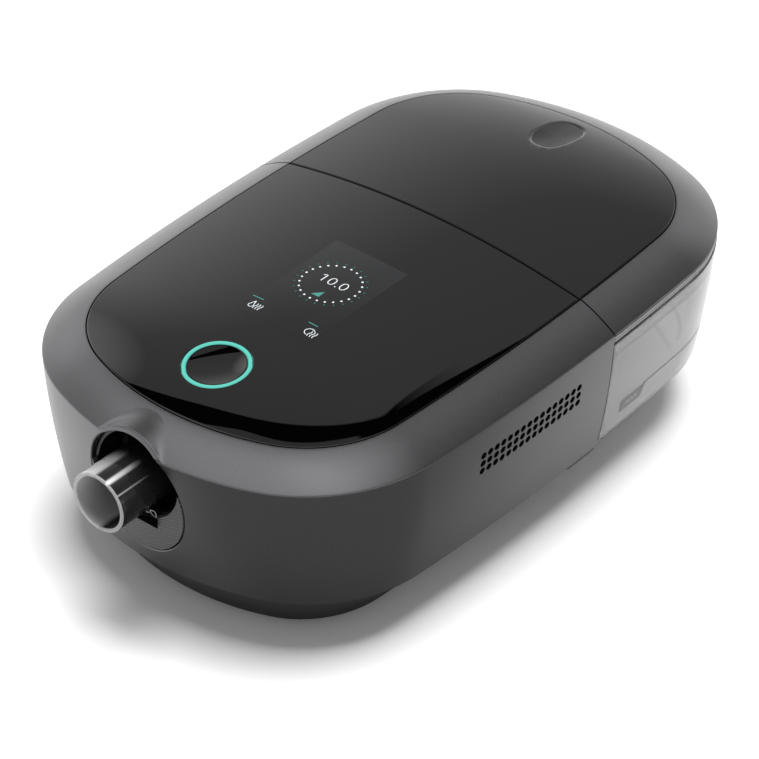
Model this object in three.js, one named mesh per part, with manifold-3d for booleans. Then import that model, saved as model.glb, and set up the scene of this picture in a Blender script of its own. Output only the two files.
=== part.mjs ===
import * as THREE from 'three';
import { mergeVertices } from 'three/addons/utils/BufferGeometryUtils.js';
import Module from 'manifold-3d';

const wasm = await Module();
wasm.setup();

// Overall body, lengths in millimetres
const bodyWidth = 158.9;
const bodyLength = 251.4;
const sideRadius = 1000;
const cornerRadius = 55.4;
const endRadius = 113.6;
const halfWidth = bodyWidth / 2;
const halfLength = bodyLength / 2;
const topHeight = 85;
const crownRise = 6.15;
const shoulderRise = 7.95;
const outletReach = 12.7;
const shoulderInset = 14.8;
const shoulderBulge = 0.75;
const wallFootHeight = 22.3;
const wallFootInset = 5.8;
const wallThickness = 2.4;
const splitSetback = 102.35;
const splitY = halfLength - splitSetback;
const splitGap = 0.6;
const fitGap = 0.3;
const looseGap = 0.5;
const cutMargin = 20;
const bulkheadThickness = 2.6;
const shoulderHeight = topHeight - crownRise;
const edgeHeight = shoulderHeight - shoulderRise;

// Cover ledge under the crowned top
const ledgeWidth = 3.5;
const ledgeDrop = 3.2;
const ledgeThickness = 2.2;
const shoulderUnderInset = 11.5;
const shoulderUnderDrop = 5.85;
const cornerUnderInset = 3.4;
const cornerUnderDrop = 2.3;
const coverThickness = 2.4;
const coverFlange = 2.2;

// Underside
const basePlanStep = 0.8;
const baseTopDrop = 0.4;
const baseBottomHeight = 3.6;
const baseBottomInset = 19.6;
const baseSideInset = 5.5;
const baseWall = 2.2;
const baseSetback = 11.15;
const baseFrontEnd = splitY - baseSetback;
const trayInset = 24;
const trayDrop = 1.5;
const trayTopHeight = wallFootHeight - trayDrop;
const trayOverlap = 4;
const shelfThickness = 1.5;
const footRadius = 7;
const footHeight = 3.3;
const frontFootInset = 41.45;
const frontFootX = halfWidth - frontFootInset;
const frontFootSetback = 47.7;
const frontFootY = -halfLength + frontFootSetback;
const rearFootInset = 41.45;
const rearFootX = halfWidth - rearFootInset;
const rearFootSetback = 45.7;
const rearFootY = halfLength - rearFootSetback;
const screwRadius = 3.2;
const screwHeight = 1.4;
const screwX = 24;
const frontScrewSetback = 29.7;
const frontScrewY = -halfLength + frontScrewSetback;
const rearScrewSetback = 63.7;
const rearScrewY = halfLength - rearScrewSetback;

// Power button and its light
const buttonSetback = 39.7;
const buttonY = -halfLength + buttonSetback;
const lightOuterRadius = 11.5;
const lightWidth = 1.05;
const lightDepth = 4.6;
const buttonDepth = 4.4;
const buttonSink = 0.2;
const dishRadius = 42;
const dishDepth = 1.25;
const stemRadius = 2;
const stemLength = 1.6;
const switchSize = 8;
const switchHeight = 0.8;
const buttonTravelRoom = 0.8;

// Display and boards
const displayWidth = 33;
const displaySetback = 63.7;
const displayFront = -halfLength + displaySetback;
const displayRear = -8;
const displayDrop = 3.5;
const displayTop = topHeight - displayDrop;
const displayThickness = 2.2;
const controlBoardInset = 41.45;
const controlBoardHalf = halfWidth - controlBoardInset;
const controlBoardSetback = 27.7;
const controlBoardFront = -halfLength + controlBoardSetback;
const controlBoardRear = 2;
const controlBoardDrop = 11.1;
const controlBoardBase = topHeight - controlBoardDrop;
const boardThickness = 1.6;
const mainBoardInset = 33.45;
const mainBoardHalf = halfWidth - mainBoardInset;
const mainBoardSetback = 39.7;
const mainBoardFront = -halfLength + mainBoardSetback;
const mainBoardRear = 0;
const mainBoardBase = 8;
const boardPostRadius = 2.6;
const boardPostInset = 7;

// Outlet in the front end
const outletX = -2.9;
const outletDrop = 19.5;
const outletZ = edgeHeight - outletDrop;
const outletHalfWidth = 20.5;
const outletHalfHeight = 23;
const hoodWall = 1.9;
const hoodSpread = 1.2;
const hoodFrontRecess = 2.3;
const hoodFrontY = -halfLength + hoodFrontRecess;
const hoodRearRecess = 10.7;
const hoodRearY = -halfLength + hoodRearRecess;
const hoodRise = 1;
const cupFrontRecess = 5.1;
const cupFrontY = -halfLength + cupFrontRecess;
const cupRearRecess = 22.7;
const cupRearY = -halfLength + cupRearRecess;
const cupFloor = 2.5;
const plateBackRecess = 6.9;
const plateBackY = -halfLength + plateBackRecess;
const cupSeatRecess = 7.3;
const cupSeatY = -halfLength + cupSeatRecess;
const pocketX = -4;
const pocketRise = 11.6;
const pocketZ = outletZ + pocketRise;
const pocketRadius = 20.3;
const pocketRim = 1.4;
const spigotX = -5.2;
const spigotRise = 3.4;
const spigotZ = outletZ + spigotRise;
const spigotRadius = 11;
const spigotWall = 1.5;
const spigotTail = 2.5;
const spigotRearY = cupRearY + spigotTail;
const sealWidth = 1.9;
const sealLength = 3;
const markX = 1.2;
const markDrop = 7.5;
const markZ = outletZ - markDrop;
const markWidth = 11.6;
const markHeight = 3.6;
const markThickness = 0.6;
const markLift = 0.35;

// Side grille
const grilleRows = 3;
const grilleColumns = 16;
const grilleFirstY = -44.2;
const grillePitchY = 3.28;
const grilleDrop = 17.8;
const grilleBottomZ = edgeHeight - grilleDrop;
const grillePitchZ = 3.25;
const grilleHoleRadius = 1.15;
const grilleMeshDepth = 5.8;
const grilleMeshThickness = 0.6;
const grilleMargin = 4;

// Doors and inlet in the left wall
const filterDoorFrontY = -64;
const filterDoorRearY = -22;
const filterDoorBottom = 31;
const filterDoorDrop = 7.9;
const filterDoorTop = edgeHeight - filterDoorDrop;
const cardDoorFrontY = -11;
const cardDoorRearY = 17;
const cardDoorHeight = 14;
const cardDoorDrop = 10.9;
const cardDoorTop = edgeHeight - cardDoorDrop;
const cardDoorBottom = cardDoorTop - cardDoorHeight;
const doorGap = 0.5;
const inletY = 5;
const inletZ = 33;
const inletRadius = 6.2;
const inletRecess = 3.05;
const inletFaceX = halfWidth - inletRecess;
const inletLength = 14;
const inletBoreRadius = 4.2;
const inletBoreDepth = 9;
const inletPinRadius = 1.1;
const inletPinDrop = 1.5;

// Air path inside
const filterRecess = 9.05;
const filterFaceX = halfWidth - filterRecess;
const filterFrameDepth = 7;
const filterFrameWall = 2.5;
const filterInset = 1.5;
const filterDepth = 3;
const foamRecess = 7.6;
const foamOuterX = filterFaceX - foamRecess;
const foamInnerX = 38;
const foamFrontY = -64;
const foamRearY = -24;
const foamBottom = 28;
const foamTop = 60;
const blowerX = 14;
const blowerY = -50;
const blowerRadius = 33;
const blowerBase = 14;
const blowerHeight = 18;
const blowerWall = 2;
const blowerInletRadius = 11;
const blowerCoverThickness = 2;
const spoutX = 38;
const spoutHalf = 7;
const spoutEndY = -18;
const spoutHalfHeight = 6;
const spoutZ = 23;
const motorRadius = 12;
const motorHeight = 5.2;
const impellerRadius = 27;
const impellerBase = 22.2;
const impellerDisc = 1.2;
const impellerHubRadius = 6;
const impellerHeight = 7;
const bladeCount = 9;
const bladeThickness = 1.3;
const bladeInnerRadius = 12;
const bladeOuterRadius = 26;
const bladeLeanShare = 0.55;
const bootRadius = 20;
const bootHole = 12;
const bootThickness = 2.6;
const intakeRadius = 6;
const deliveryRadius = 6;
const returnRadius = 10;
const ductWall = 1.5;
const intakePath = [[-37.4, -50, 40.7], [-14, -50, 40.7], [4, -50, 40.7], [11, -50, 39], [14, -50, 34.4]];
const deliveryPath = [[38, -17.3, 23], [38, -9, 23.1], [36.4, 0, 29.5], [32, 6.5, 40], [26.5, 10.5, 50],
  [22.5, 14.4, 55.8], [22, 19.3, 56.3]];
const returnPath = [[-22, 20, 55.6], [-22, 6, 55.8], [-20, -20, 57.6], [-13, -55, 57.6], [-6.6, -85, 55.4],
  [-5.2, -99, 54.8]];
const portInX = 22;
const portInDrop = 14.6;
const portInZ = edgeHeight - portInDrop;
const portInRadius = 8.4;
const portInBore = 5.6;
const portOutX = -22;
const portOutDrop = 15.3;
const portOutZ = edgeHeight - portOutDrop;
const portOutRadius = 7.6;
const portOutBore = 5.4;
const portSealLength = 2.4;

// Memory card
const cardDrop = 5.9;
const cardTop = cardDoorTop - cardDrop;
const cardThickness = 2.1;
const cardRecess = 7.45;
const cardOuterX = halfWidth - cardRecess;
const cardLength = 32;
const cardWidth = 24;
const cardCentreY = 3;
const socketThickness = 3;
const socketMargin = 1.5;

// Humidifier lid
const lidDrop = 3.9;
const lidBottom = edgeHeight - lidDrop;
const ringDrop = 0.6;
const ringBottom = edgeHeight - ringDrop;
const ringBottomInset = 0.35;
const trimDrop = 0.3;
const trimTop = ringBottom - trimDrop;
const trimWidth = 2.4;
const trimInset = 0.3;
const trimLean = 0.2;
const lidFrontWall = 2.4;
const lidInnerInset = 3.2;
const lidTrayDrop = 1;
const lidTrayTop = ringBottom - lidTrayDrop;
const lidTrayRise = 0.3;
const lidTrayBottom = lidBottom + lidTrayRise;
const lidSealInset = 16;
const lidSealWidth = 3;
const lidSealDepth = 1.4;
const hingeRise = 0.3;
const hingeHeight = topHeight + hingeRise;
const hingeX = 20;
const armWidth = 6;
const armInnerRadius = 13;
const armOuterRadius = 17;
const armSweepDegrees = 73;
const guideWall = 1.3;
const guideInnerRadius = 11.6;
const guideStartDegrees = 17;
const guideEndDegrees = 68;
const slotMargin = 0.5;
const scoopSetback = 32.7;
const scoopY = halfLength - scoopSetback;
const scoopHalfWidth = 6;
const scoopHalfLength = 12.5;
const scoopDepth = 3.2;
const scoopPadWidth = 20;
const scoopPadLength = 16;
const scoopPadFrontY = scoopY - scoopPadLength;

// Water tank
const tankDrop = 0.6;
const tankTop = lidBottom - tankDrop;
const tankWall = 2.2;
const tankFloor = 2.2;
const tankFootStep = 3.4;
const tankFootRise = 2.4;
const tankLedgeThickness = 1.7;
const tankLedgeWidth = 3.2;
const tankSealWidth = 2.4;
const tankCoverDrop = 0.3;
const tankCoverTop = tankTop - tankCoverDrop;
const tankSealDrop = 3.1;
const tankSealTop = tankCoverTop - tankSealDrop;
const tankLedgeDrop = 1.4;
const tankLedgeTop = tankSealTop - tankLedgeDrop;
const tankCoverThickness = 2.6;
const heaterSetback = 59.7;
const heaterY = halfLength - heaterSetback;
const heaterRadius = 36;
const heaterDrop = 0.5;
const heaterTop = wallFootHeight - heaterDrop;
const heaterThickness = 2.4;
const heaterHoleGap = 0.8;
const heaterRingRadius = 30;
const heaterRingHole = 22;
const heaterRingHeight = 11.4;
const plateFlange = 3.4;
const plateFlangeThickness = 1.2;
const baffleDrop = 2.4;
const baffleTop = tankLedgeTop - baffleDrop;
const baffleThickness = 1.7;
const baffleVane = 1.4;
const baffleHalf = 40;
const baffleAhead = 26;
const baffleFrontY = heaterY - baffleAhead;
const baffleLength = 22;
const baffleRearY = baffleFrontY + baffleLength;
const baffleDepth = 13;
const bafflePostRadius = 2;
const bafflePostInset = 5;

// Shares of the wall profile and of the crown
const wallHeightShares = [0, 0.12, 0.3, 0.5, 0.72, 0.88, 1];
const wallLeanShare = 0.365;
const shoulderShares = [0.25, 0.5, 0.75, 1];
const crownShares = [1, 0.95, 0.88, 0.78, 0.64, 0.46, 0.24];
const coverHollowShares = [0.93, 0.85, 0.73, 0.54, 0.28];
const crownPowerShare = 5.5;
const crownWidthPowerShare = 2;
const baseShares = [[0, 0], [0.3, 0.28], [0.6, 0.57], [0.86, 0.86], [1, 1]];
const sideSegments = 3;
const cornerSegments = 8;
const roundSegments = 28;
const smallSegments = 16;
const holeSegments = 6;
const ringSegments = 40;

// Derived lengths
const wallHeight = edgeHeight - wallFootHeight;
const ledgeHeight = shoulderHeight - ledgeDrop;
const crownLength = halfLength - shoulderInset;
const frontEndY = splitY - splitGap / 2;
const rearStartY = splitY + splitGap / 2;
const farX = halfWidth + cutMargin;
const farY = halfLength + cutMargin;
const farZ = topHeight + cutMargin;
const spigotFrontY = -(halfLength + outletReach);
const centreShiftY = outletReach / 2;

// Quarter of the plan: a side arc, a corner arc and an end arc that touch
const sideCentreX = halfWidth - sideRadius;
const endCentreY = halfLength - endRadius;
const centreDistance = Math.hypot(sideCentreX, endCentreY);
const sideReach = sideRadius - cornerRadius;
const endReach = endRadius - cornerRadius;
const cornerAlong = (sideReach ** 2 - endReach ** 2 + centreDistance ** 2) / (2 * centreDistance);
const cornerAcross = Math.sqrt(sideReach ** 2 - cornerAlong ** 2);
const cornerX = sideCentreX + (-sideCentreX * cornerAlong - endCentreY * cornerAcross) / centreDistance;
const cornerY = (endCentreY * cornerAlong - sideCentreX * cornerAcross) / centreDistance;
const cornerStart = Math.atan2(cornerY, cornerX - sideCentreX);
const cornerEnd = Math.atan2(cornerY - endCentreY, cornerX);
const arc = (x, y, radius, start, end, segments) => Array.from({ length: segments }, (unused, step) => {
  const angle = start + ((end - start) * step) / segments;
  return [x + radius * Math.cos(angle), y + radius * Math.sin(angle)];
});
const quarterPlan = [
  ...arc(sideCentreX, 0, sideRadius, 0, cornerStart, sideSegments),
  ...arc(cornerX, cornerY, cornerRadius, cornerStart, cornerEnd, cornerSegments),
  ...arc(0, endCentreY, endRadius, cornerEnd, Math.PI / 2, sideSegments),
  [0, halfLength],
];

// Whole plan as a ring of points, moved inwards by an inset
const planPoints = [0, 1, 2, 3].flatMap((quarter) => {
  const side = quarter % 2 ? quarterPlan.slice(1).reverse() : quarterPlan.slice(0, -1);
  const signX = quarter === 1 || quarter === 2 ? -1 : 1;
  const signY = quarter > 1 ? -1 : 1;
  return side.map(([x, y]) => [signX * x, signY * y]);
});
const planNormals = planPoints.map((point, index) => {
  const count = planPoints.length;
  const before = planPoints[(index + count - 1) % count];
  const after = planPoints[(index + 1) % count];
  const tangentX = after[0] - before[0];
  const tangentY = after[1] - before[1];
  const size = Math.hypot(tangentX, tangentY);
  return [tangentY / size, -tangentX / size];
});
const planRing = (inset, height) => planPoints.map((point, index) => new THREE.Vector3(
  point[0] - planNormals[index][0] * inset,
  point[1] - planNormals[index][1] * inset,
  height,
));

// Inset of the outer wall at a height
const wallInset = (height) => {
  const drop = (edgeHeight - height) / wallHeight;
  return wallFootInset * (wallLeanShare * drop + (1 - wallLeanShare) * drop * drop);
};

// Height of the crowned top
const crownOutline = planRing(shoulderInset, shoulderHeight);
const outlineHalfWidth = (y) => {
  const depth = Math.abs(y);
  const quarter = crownOutline.slice(0, quarterPlan.length);
  for (let step = 1; step < quarter.length; step += 1) {
    const low = quarter[step - 1];
    const high = quarter[step];
    if (depth <= high.y) {
      const share = (depth - low.y) / (high.y - low.y);
      return low.x + (high.x - low.x) * share;
    }
  }
  return 0;
};
const crownHeight = (x, y) => {
  const half = outlineHalfWidth(y);
  if (half <= 0) return shoulderHeight;
  const across = Math.min(1, Math.abs(x) / half) ** crownWidthPowerShare;
  const along = Math.min(1, Math.abs(y) / crownLength) ** crownPowerShare;
  return shoulderHeight + crownRise * (1 - across) * (1 - along);
};

// Skin between rings; every ring has the same number of points
const skin = (rings, closed) => {
  const count = rings[0].length;
  const positions = rings.flat().flatMap((point) => [point.x, point.y, point.z]);
  const faces = [];
  const bands = closed ? rings.length : rings.length - 1;
  for (let band = 0; band < bands; band += 1) {
    const low = band * count;
    const high = ((band + 1) % rings.length) * count;
    for (let step = 0; step < count; step += 1) {
      const next = (step + 1) % count;
      faces.push(low + step, low + next, high + next);
      faces.push(low + step, high + next, high + step);
    }
  }
  if (!closed) {
    [0, rings.length - 1].forEach((ringIndex) => {
      const middle = new THREE.Vector3();
      rings[ringIndex].forEach((point) => middle.addScaledVector(point, 1 / count));
      const centre = positions.length / 3;
      positions.push(middle.x, middle.y, middle.z);
      for (let step = 0; step < count; step += 1) {
        const first = ringIndex * count + step;
        const second = ringIndex * count + ((step + 1) % count);
        if (ringIndex === 0) faces.push(centre, second, first);
        else faces.push(centre, first, second);
      }
    });
  }
  return { positions, faces };
};

// Signed volume, used to turn every skin outwards
const volumeOf = ({ positions, faces }) => {
  let total = 0;
  const corner = (index) => new THREE.Vector3(...positions.slice(index * 3, index * 3 + 3));
  for (let face = 0; face < faces.length; face += 3) {
    const [a, b, c] = [corner(faces[face]), corner(faces[face + 1]), corner(faces[face + 2])];
    total += a.dot(b.cross(c));
  }
  return total;
};
const toSolid = (shape) => {
  const faces = volumeOf(shape) < 0 ? [...shape.faces].reverse() : shape.faces;
  return new wasm.Manifold(new wasm.Mesh({
    numProp: 3,
    vertProperties: new Float32Array(shape.positions),
    triVerts: new Uint32Array(faces),
  }));
};
const geometryToSolid = (geometry) => {
  const bare = new THREE.BufferGeometry();
  bare.setAttribute('position', geometry.getAttribute('position'));
  bare.setIndex(geometry.getIndex());
  const merged = mergeVertices(bare);
  const source = merged.getIndex().array;
  const faces = [];
  for (let face = 0; face < source.length; face += 3) {
    const [a, b, c] = [source[face], source[face + 1], source[face + 2]];
    if (a !== b && b !== c && c !== a) faces.push(a, b, c);
  }
  return toSolid({ positions: Array.from(merged.getAttribute('position').array), faces });
};
const stack = (rings) => toSolid(skin(rings, false));
const loop = (profile) => toSolid(skin(profile.map(([inset, height]) => planRing(inset, height)), true));

// Plain bodies
const box = (x0, x1, y0, y1, z0, z1) => {
  const geometry = new THREE.BoxGeometry(x1 - x0, y1 - y0, z1 - z0);
  geometry.translate((x0 + x1) / 2, (y0 + y1) / 2, (z0 + z1) / 2);
  return geometryToSolid(geometry);
};
const ellipseRing = (x, z, halfX, halfZ, y, count) => Array.from({ length: count }, (unused, step) => {
  const angle = (step / count) * Math.PI * 2;
  return new THREE.Vector3(x + Math.cos(angle) * halfX, y, z + Math.sin(angle) * halfZ);
});
const rodY = (x, z, radius, y0, y1, segments = roundSegments) => stack([
  ellipseRing(x, z, radius, radius, y0, segments),
  ellipseRing(x, z, radius, radius, y1, segments),
]);
const rodZ = (x, y, radius, z0, z1, segments = roundSegments) => {
  const ring = (height) => Array.from({ length: segments }, (unused, step) => {
    const angle = (step / segments) * Math.PI * 2;
    return new THREE.Vector3(x + Math.cos(angle) * radius, y + Math.sin(angle) * radius, height);
  });
  return stack([ring(z0), ring(z1)]);
};
const rodX = (y, z, radius, x0, x1, segments = smallSegments) => {
  const ring = (x) => Array.from({ length: segments }, (unused, step) => {
    const angle = (step / segments) * Math.PI * 2;
    return new THREE.Vector3(x, y + Math.cos(angle) * radius, z + Math.sin(angle) * radius);
  });
  return stack([ring(x0), ring(x1)]);
};

// Open pipe along a path
const pipe = (path, outerRadius, innerRadius, segments = smallSegments) => {
  const points = path.map((point) => new THREE.Vector3(...point));
  const side = new THREE.Vector3(0, 0, 1);
  const frames = points.map((point, index) => {
    const before = points[Math.max(0, index - 1)];
    const after = points[Math.min(points.length - 1, index + 1)];
    const along = after.clone().sub(before).normalize();
    side.addScaledVector(along, -side.dot(along));
    if (side.length() === 0) side.set(1, 0, 0);
    side.normalize();
    return { point, first: side.clone(), second: along.clone().cross(side) };
  });
  const ringAt = ({ point, first, second }, radius) => Array.from({ length: segments }, (unused, step) => {
    const angle = (step / segments) * Math.PI * 2;
    return point.clone().addScaledVector(first, Math.cos(angle) * radius)
      .addScaledVector(second, Math.sin(angle) * radius);
  });
  const outer = frames.map((frame) => ringAt(frame, outerRadius));
  const inner = frames.map((frame) => ringAt(frame, innerRadius)).reverse();
  return toSolid(skin([...outer, ...inner], true));
};

// Halves of the plan on either side of the split
const frontHalf = box(-farX, farX, -farY, frontEndY, -cutMargin, farZ);
const rearHalf = box(-farX, farX, rearStartY, farY, -cutMargin, farZ);

// Full outer envelope, with an extra inset
const wallRings = (extra, bottom, top) => wallHeightShares
  .map((share) => bottom + (top - bottom) * share)
  .map((height) => planRing(wallInset(height) + extra, height));
const shoulderPoint = (share) => [
  shoulderInset * share,
  edgeHeight + (shoulderHeight - edgeHeight) * share + shoulderBulge * 4 * share * (1 - share),
];

// Crowned cap, from a flat bottom up to the crowned surface lowered by a sink
const crownCap = (shares, bottom, sink, gap) => {
  const outline = planRing(shoulderInset + gap, shoulderHeight);
  const edge = shares[0];
  const rings = [outline.map((point) => new THREE.Vector3(point.x * edge, point.y * edge, bottom))];
  shares.forEach((share) => {
    rings.push(outline.map((point) => {
      const x = point.x * share;
      const y = point.y * share;
      return new THREE.Vector3(x, y, crownHeight(x, y) - sink);
    }));
  });
  const shape = skin(rings, false);
  shape.positions[shape.positions.length - 1] = topHeight - sink;
  return toSolid(shape);
};
const crownBottom = ledgeHeight + fitGap;
const crownFull = crownCap(crownShares, crownBottom, 0, fitGap);
const crownHollow = crownCap(coverHollowShares, crownBottom - looseGap, coverThickness, fitGap);

// Main housing
const innerWallProfile = wallHeightShares
  .map((share) => wallFootHeight + (edgeHeight - cornerUnderDrop - wallFootHeight) * share)
  .map((height) => [wallInset(height) + wallThickness, height]);
const housingProfile = [
  ...wallHeightShares.map((share) => wallFootHeight + wallHeight * share)
    .map((height) => [wallInset(height), height]),
  ...shoulderShares.map(shoulderPoint),
  [shoulderInset, ledgeHeight],
  [shoulderInset + ledgeWidth, ledgeHeight],
  [shoulderInset + ledgeWidth, ledgeHeight - ledgeThickness],
  [shoulderUnderInset, shoulderHeight - shoulderUnderDrop],
  [cornerUnderInset, edgeHeight - cornerUnderDrop],
  ...innerWallProfile.slice(0, -1).reverse(),
];
const envelopeRings = [
  ...wallRings(0, wallFootHeight, edgeHeight),
  ...shoulderShares.slice(0, -1).map(shoulderPoint).map(([inset, height]) => planRing(inset, height)),
];
const envelope = stack(envelopeRings);
const shell = loop(housingProfile);
const bulkhead = envelope
  .intersect(box(-farX, farX, frontEndY - bulkheadThickness, frontEndY, 0, ledgeHeight - fitGap));
const ellipseRod = (growX, growZ, y0, y1, liftRear = 0, spreadRear = 0) => stack([
  ellipseRing(outletX, outletZ, outletHalfWidth + growX, outletHalfHeight + growZ, y0, ringSegments),
  ellipseRing(
    outletX,
    outletZ,
    outletHalfWidth + growX + spreadRear,
    outletHalfHeight + growZ + liftRear,
    y1,
    ringSegments,
  ),
]);
const hood = ellipseRod(hoodWall, hoodWall, hoodFrontY, hoodRearY, hoodRise, hoodSpread);
const outletHole = ellipseRod(0, 0, -farY, cupRearY);
const armSlot = (side) => box(
  side * hingeX - armWidth / 2 - slotMargin,
  side * hingeX + armWidth / 2 + slotMargin,
  frontEndY - bulkheadThickness - looseGap,
  frontEndY + looseGap,
  hingeHeight - armOuterRadius - slotMargin,
  hingeHeight - armInnerRadius + slotMargin * 2,
);
const wallDoorBox = (frontY, rearY, bottom, top, gap) => box(
  -farX,
  -halfWidth / 2,
  frontY - gap,
  rearY + gap,
  bottom - gap,
  top + gap,
);
const filterDoorSides = [filterDoorFrontY, filterDoorRearY, filterDoorBottom, filterDoorTop];
const cardDoorSides = [cardDoorFrontY, cardDoorRearY, cardDoorBottom, cardDoorTop];
let housing = shell.intersect(frontHalf).add(bulkhead).add(hood).subtract(outletHole);
housing = housing.subtract(armSlot(1)).subtract(armSlot(-1));
housing = housing.subtract(rodY(portInX, portInZ, portInRadius, 0, farY));
housing = housing.subtract(rodY(portOutX, portOutZ, portOutRadius, 0, farY));
housing = housing.subtract(wallDoorBox(...filterDoorSides, doorGap));
housing = housing.subtract(wallDoorBox(...cardDoorSides, doorGap));
housing = housing.subtract(rodX(inletY, inletZ, inletRadius + fitGap, -farX, -halfWidth / 2));
for (let row = 0; row < grilleRows; row += 1) {
  for (let column = 0; column < grilleColumns; column += 1) {
    const y = grilleFirstY + grillePitchY * column;
    const z = grilleBottomZ + grillePitchZ * row;
    housing = housing.subtract(rodX(y, z, grilleHoleRadius, halfWidth / 2, farX, holeSegments));
  }
}
const wallPiece = (...sides) => shell.intersect(wallDoorBox(...sides, 0));

// Underside pan and tray
const baseTop = wallFootHeight - baseTopDrop;
const basePlanInset = wallFootInset + basePlanStep;
const baseRings = (extra, bottom, top) => baseShares.map(([insetShare, dropShare]) => {
  const inset = basePlanInset + (baseBottomInset - basePlanInset) * insetShare + extra;
  return planRing(inset, top - (top - bottom) * dropShare).map(({ x, y, z }) => {
    const across = x / halfWidth;
    return new THREE.Vector3(x - baseSideInset * insetShare * across * Math.abs(across), y, z);
  });
});
const panFront = stack(baseRings(0, baseBottomHeight, baseTop))
  .intersect(box(-farX, farX, -farY, baseFrontEnd, 0, farZ));
const panTray = stack([planRing(trayInset, baseBottomHeight), planRing(trayInset, trayTopHeight)])
  .intersect(box(-farX, farX, baseFrontEnd - trayOverlap, farY, 0, farZ));
const shelfBottom = baseTop - shelfThickness;
const panShelf = stack([planRing(basePlanInset, shelfBottom), planRing(basePlanInset, baseTop)])
  .intersect(box(-farX, farX, baseFrontEnd - trayOverlap, frontEndY, 0, farZ));
const panFloor = baseBottomHeight + baseWall;
const panHollowLow = stack(baseRings(baseWall, panFloor, baseTop))
  .intersect(box(-farX, farX, -farY, baseFrontEnd - trayOverlap, 0, farZ));
const panMouth = stack([planRing(basePlanInset + baseWall, baseTop - looseGap),
  planRing(basePlanInset + baseWall, farZ)])
  .intersect(box(-farX, farX, -farY, baseFrontEnd - trayOverlap, 0, farZ));
const trayHollow = stack([planRing(trayInset + baseWall, panFloor),
  planRing(trayInset + baseWall, trayTopHeight - baseWall)])
  .intersect(box(-farX, farX, baseFrontEnd - trayOverlap - baseWall, farY, 0, farZ));
const heaterHole = rodZ(0, heaterY, heaterRadius + heaterHoleGap, panFloor, farZ, roundSegments);
let basePan = panFront.add(panTray).add(panShelf).subtract(panHollowLow).subtract(panMouth)
  .subtract(trayHollow).subtract(heaterHole);
const postX = mainBoardHalf - boardPostInset;
const postBottom = panFloor - baseWall / 2;
const postTop = mainBoardBase - fitGap;
for (const x of [-postX, postX]) {
  for (const y of [mainBoardFront + boardPostInset, mainBoardRear - boardPostInset]) {
    basePan = basePan.add(rodZ(x, y, boardPostRadius, postBottom, postTop, holeSegments));
  }
}

// Top covers
const frontCoverHollow = crownHollow.intersect(box(-farX, farX, -farY, frontEndY - coverFlange, 0, farZ));
const rearCoverHollow = crownHollow.intersect(box(-farX, farX, rearStartY + coverFlange, farY, 0, farZ))
  .subtract(box(-scoopPadWidth / 2, scoopPadWidth / 2, scoopPadFrontY, farY, 0, farZ));
const lightHole = rodZ(0, buttonY, lightOuterRadius + fitGap, 0, farZ, ringSegments);
const controlPanel = crownFull.intersect(frontHalf).subtract(frontCoverHollow).subtract(lightHole);
const scoopGeometry = new THREE.SphereGeometry(1, roundSegments, smallSegments);
scoopGeometry.scale(scoopHalfWidth, scoopHalfLength, scoopDepth);
scoopGeometry.translate(0, scoopY, crownHeight(0, scoopY));
const lidInsert = crownFull.intersect(rearHalf).subtract(rearCoverHollow)
  .subtract(geometryToSolid(scoopGeometry));

// Button and light
const crownAtButton = crownHeight(0, buttonY);
const buttonRadius = lightOuterRadius - lightWidth - fitGap;
const buttonBottom = crownAtButton - buttonDepth;
const lightRing = crownFull
  .intersect(rodZ(0, buttonY, lightOuterRadius, crownAtButton - lightDepth, farZ, ringSegments))
  .subtract(rodZ(0, buttonY, lightOuterRadius - lightWidth, 0, farZ, ringSegments));
const dish = new THREE.SphereGeometry(dishRadius, roundSegments * 2, roundSegments);
dish.rotateX(Math.PI / 2);
dish.translate(0, buttonY, crownAtButton - dishDepth + dishRadius);
const crownLow = crownCap(crownShares, crownBottom, buttonSink, fitGap);
const powerButton = crownLow
  .intersect(rodZ(0, buttonY, buttonRadius, buttonBottom, farZ, roundSegments))
  .subtract(geometryToSolid(dish))
  .add(rodZ(0, buttonY, stemRadius, buttonBottom - stemLength, buttonBottom + looseGap, smallSegments));
const switchTop = buttonBottom - stemLength - buttonTravelRoom;

// Outlet
const pocket = rodY(pocketX, pocketZ, pocketRadius, -farY, cupRearY - cupFloor, roundSegments)
  .intersect(ellipseRod(-pocketRim, -pocketRim, -farY, cupRearY));
const outletCup = ellipseRod(-fitGap, -fitGap, cupFrontY, cupRearY)
  .subtract(box(-farX, farX, -farY, cupSeatY, 0, pocketZ)
    .subtract(rodY(pocketX, pocketZ, pocketRadius, -farY, farY, roundSegments)))
  .subtract(pocket)
  .subtract(rodY(spigotX, spigotZ, spigotRadius + sealWidth + fitGap, -farY, farY));
const outletPlate = envelope
  .intersect(ellipseRod(-fitGap, -fitGap, -farY, plateBackY))
  .intersect(box(-farX, farX, -farY, plateBackY, 0, pocketZ - fitGap))
  .subtract(rodY(pocketX, pocketZ, pocketRadius + fitGap, -farY, farY, roundSegments))
  .subtract(rodY(spigotX, spigotZ, spigotRadius + fitGap, -farY, farY));
const outletSpigot = rodY(spigotX, spigotZ, spigotRadius, spigotFrontY, spigotRearY)
  .subtract(rodY(spigotX, spigotZ, spigotRadius - spigotWall, -farY, farY));
const outletSeal = rodY(spigotX, spigotZ, spigotRadius + sealWidth, cupRearY - sealLength, cupRearY)
  .subtract(rodY(spigotX, spigotZ, spigotRadius + fitGap, -farY, farY));
const markFront = -halfLength + wallInset(markZ) - markLift;
const triangleRing = (y) => [
  new THREE.Vector3(markX - markWidth / 2, y, markZ - markHeight / 2),
  new THREE.Vector3(markX + markWidth / 2, y, markZ - markHeight / 2),
  new THREE.Vector3(markX + markWidth / 2, y, markZ + markHeight / 2),
];
const plateMark = stack([triangleRing(markFront - markThickness), triangleRing(markFront)]);

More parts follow.
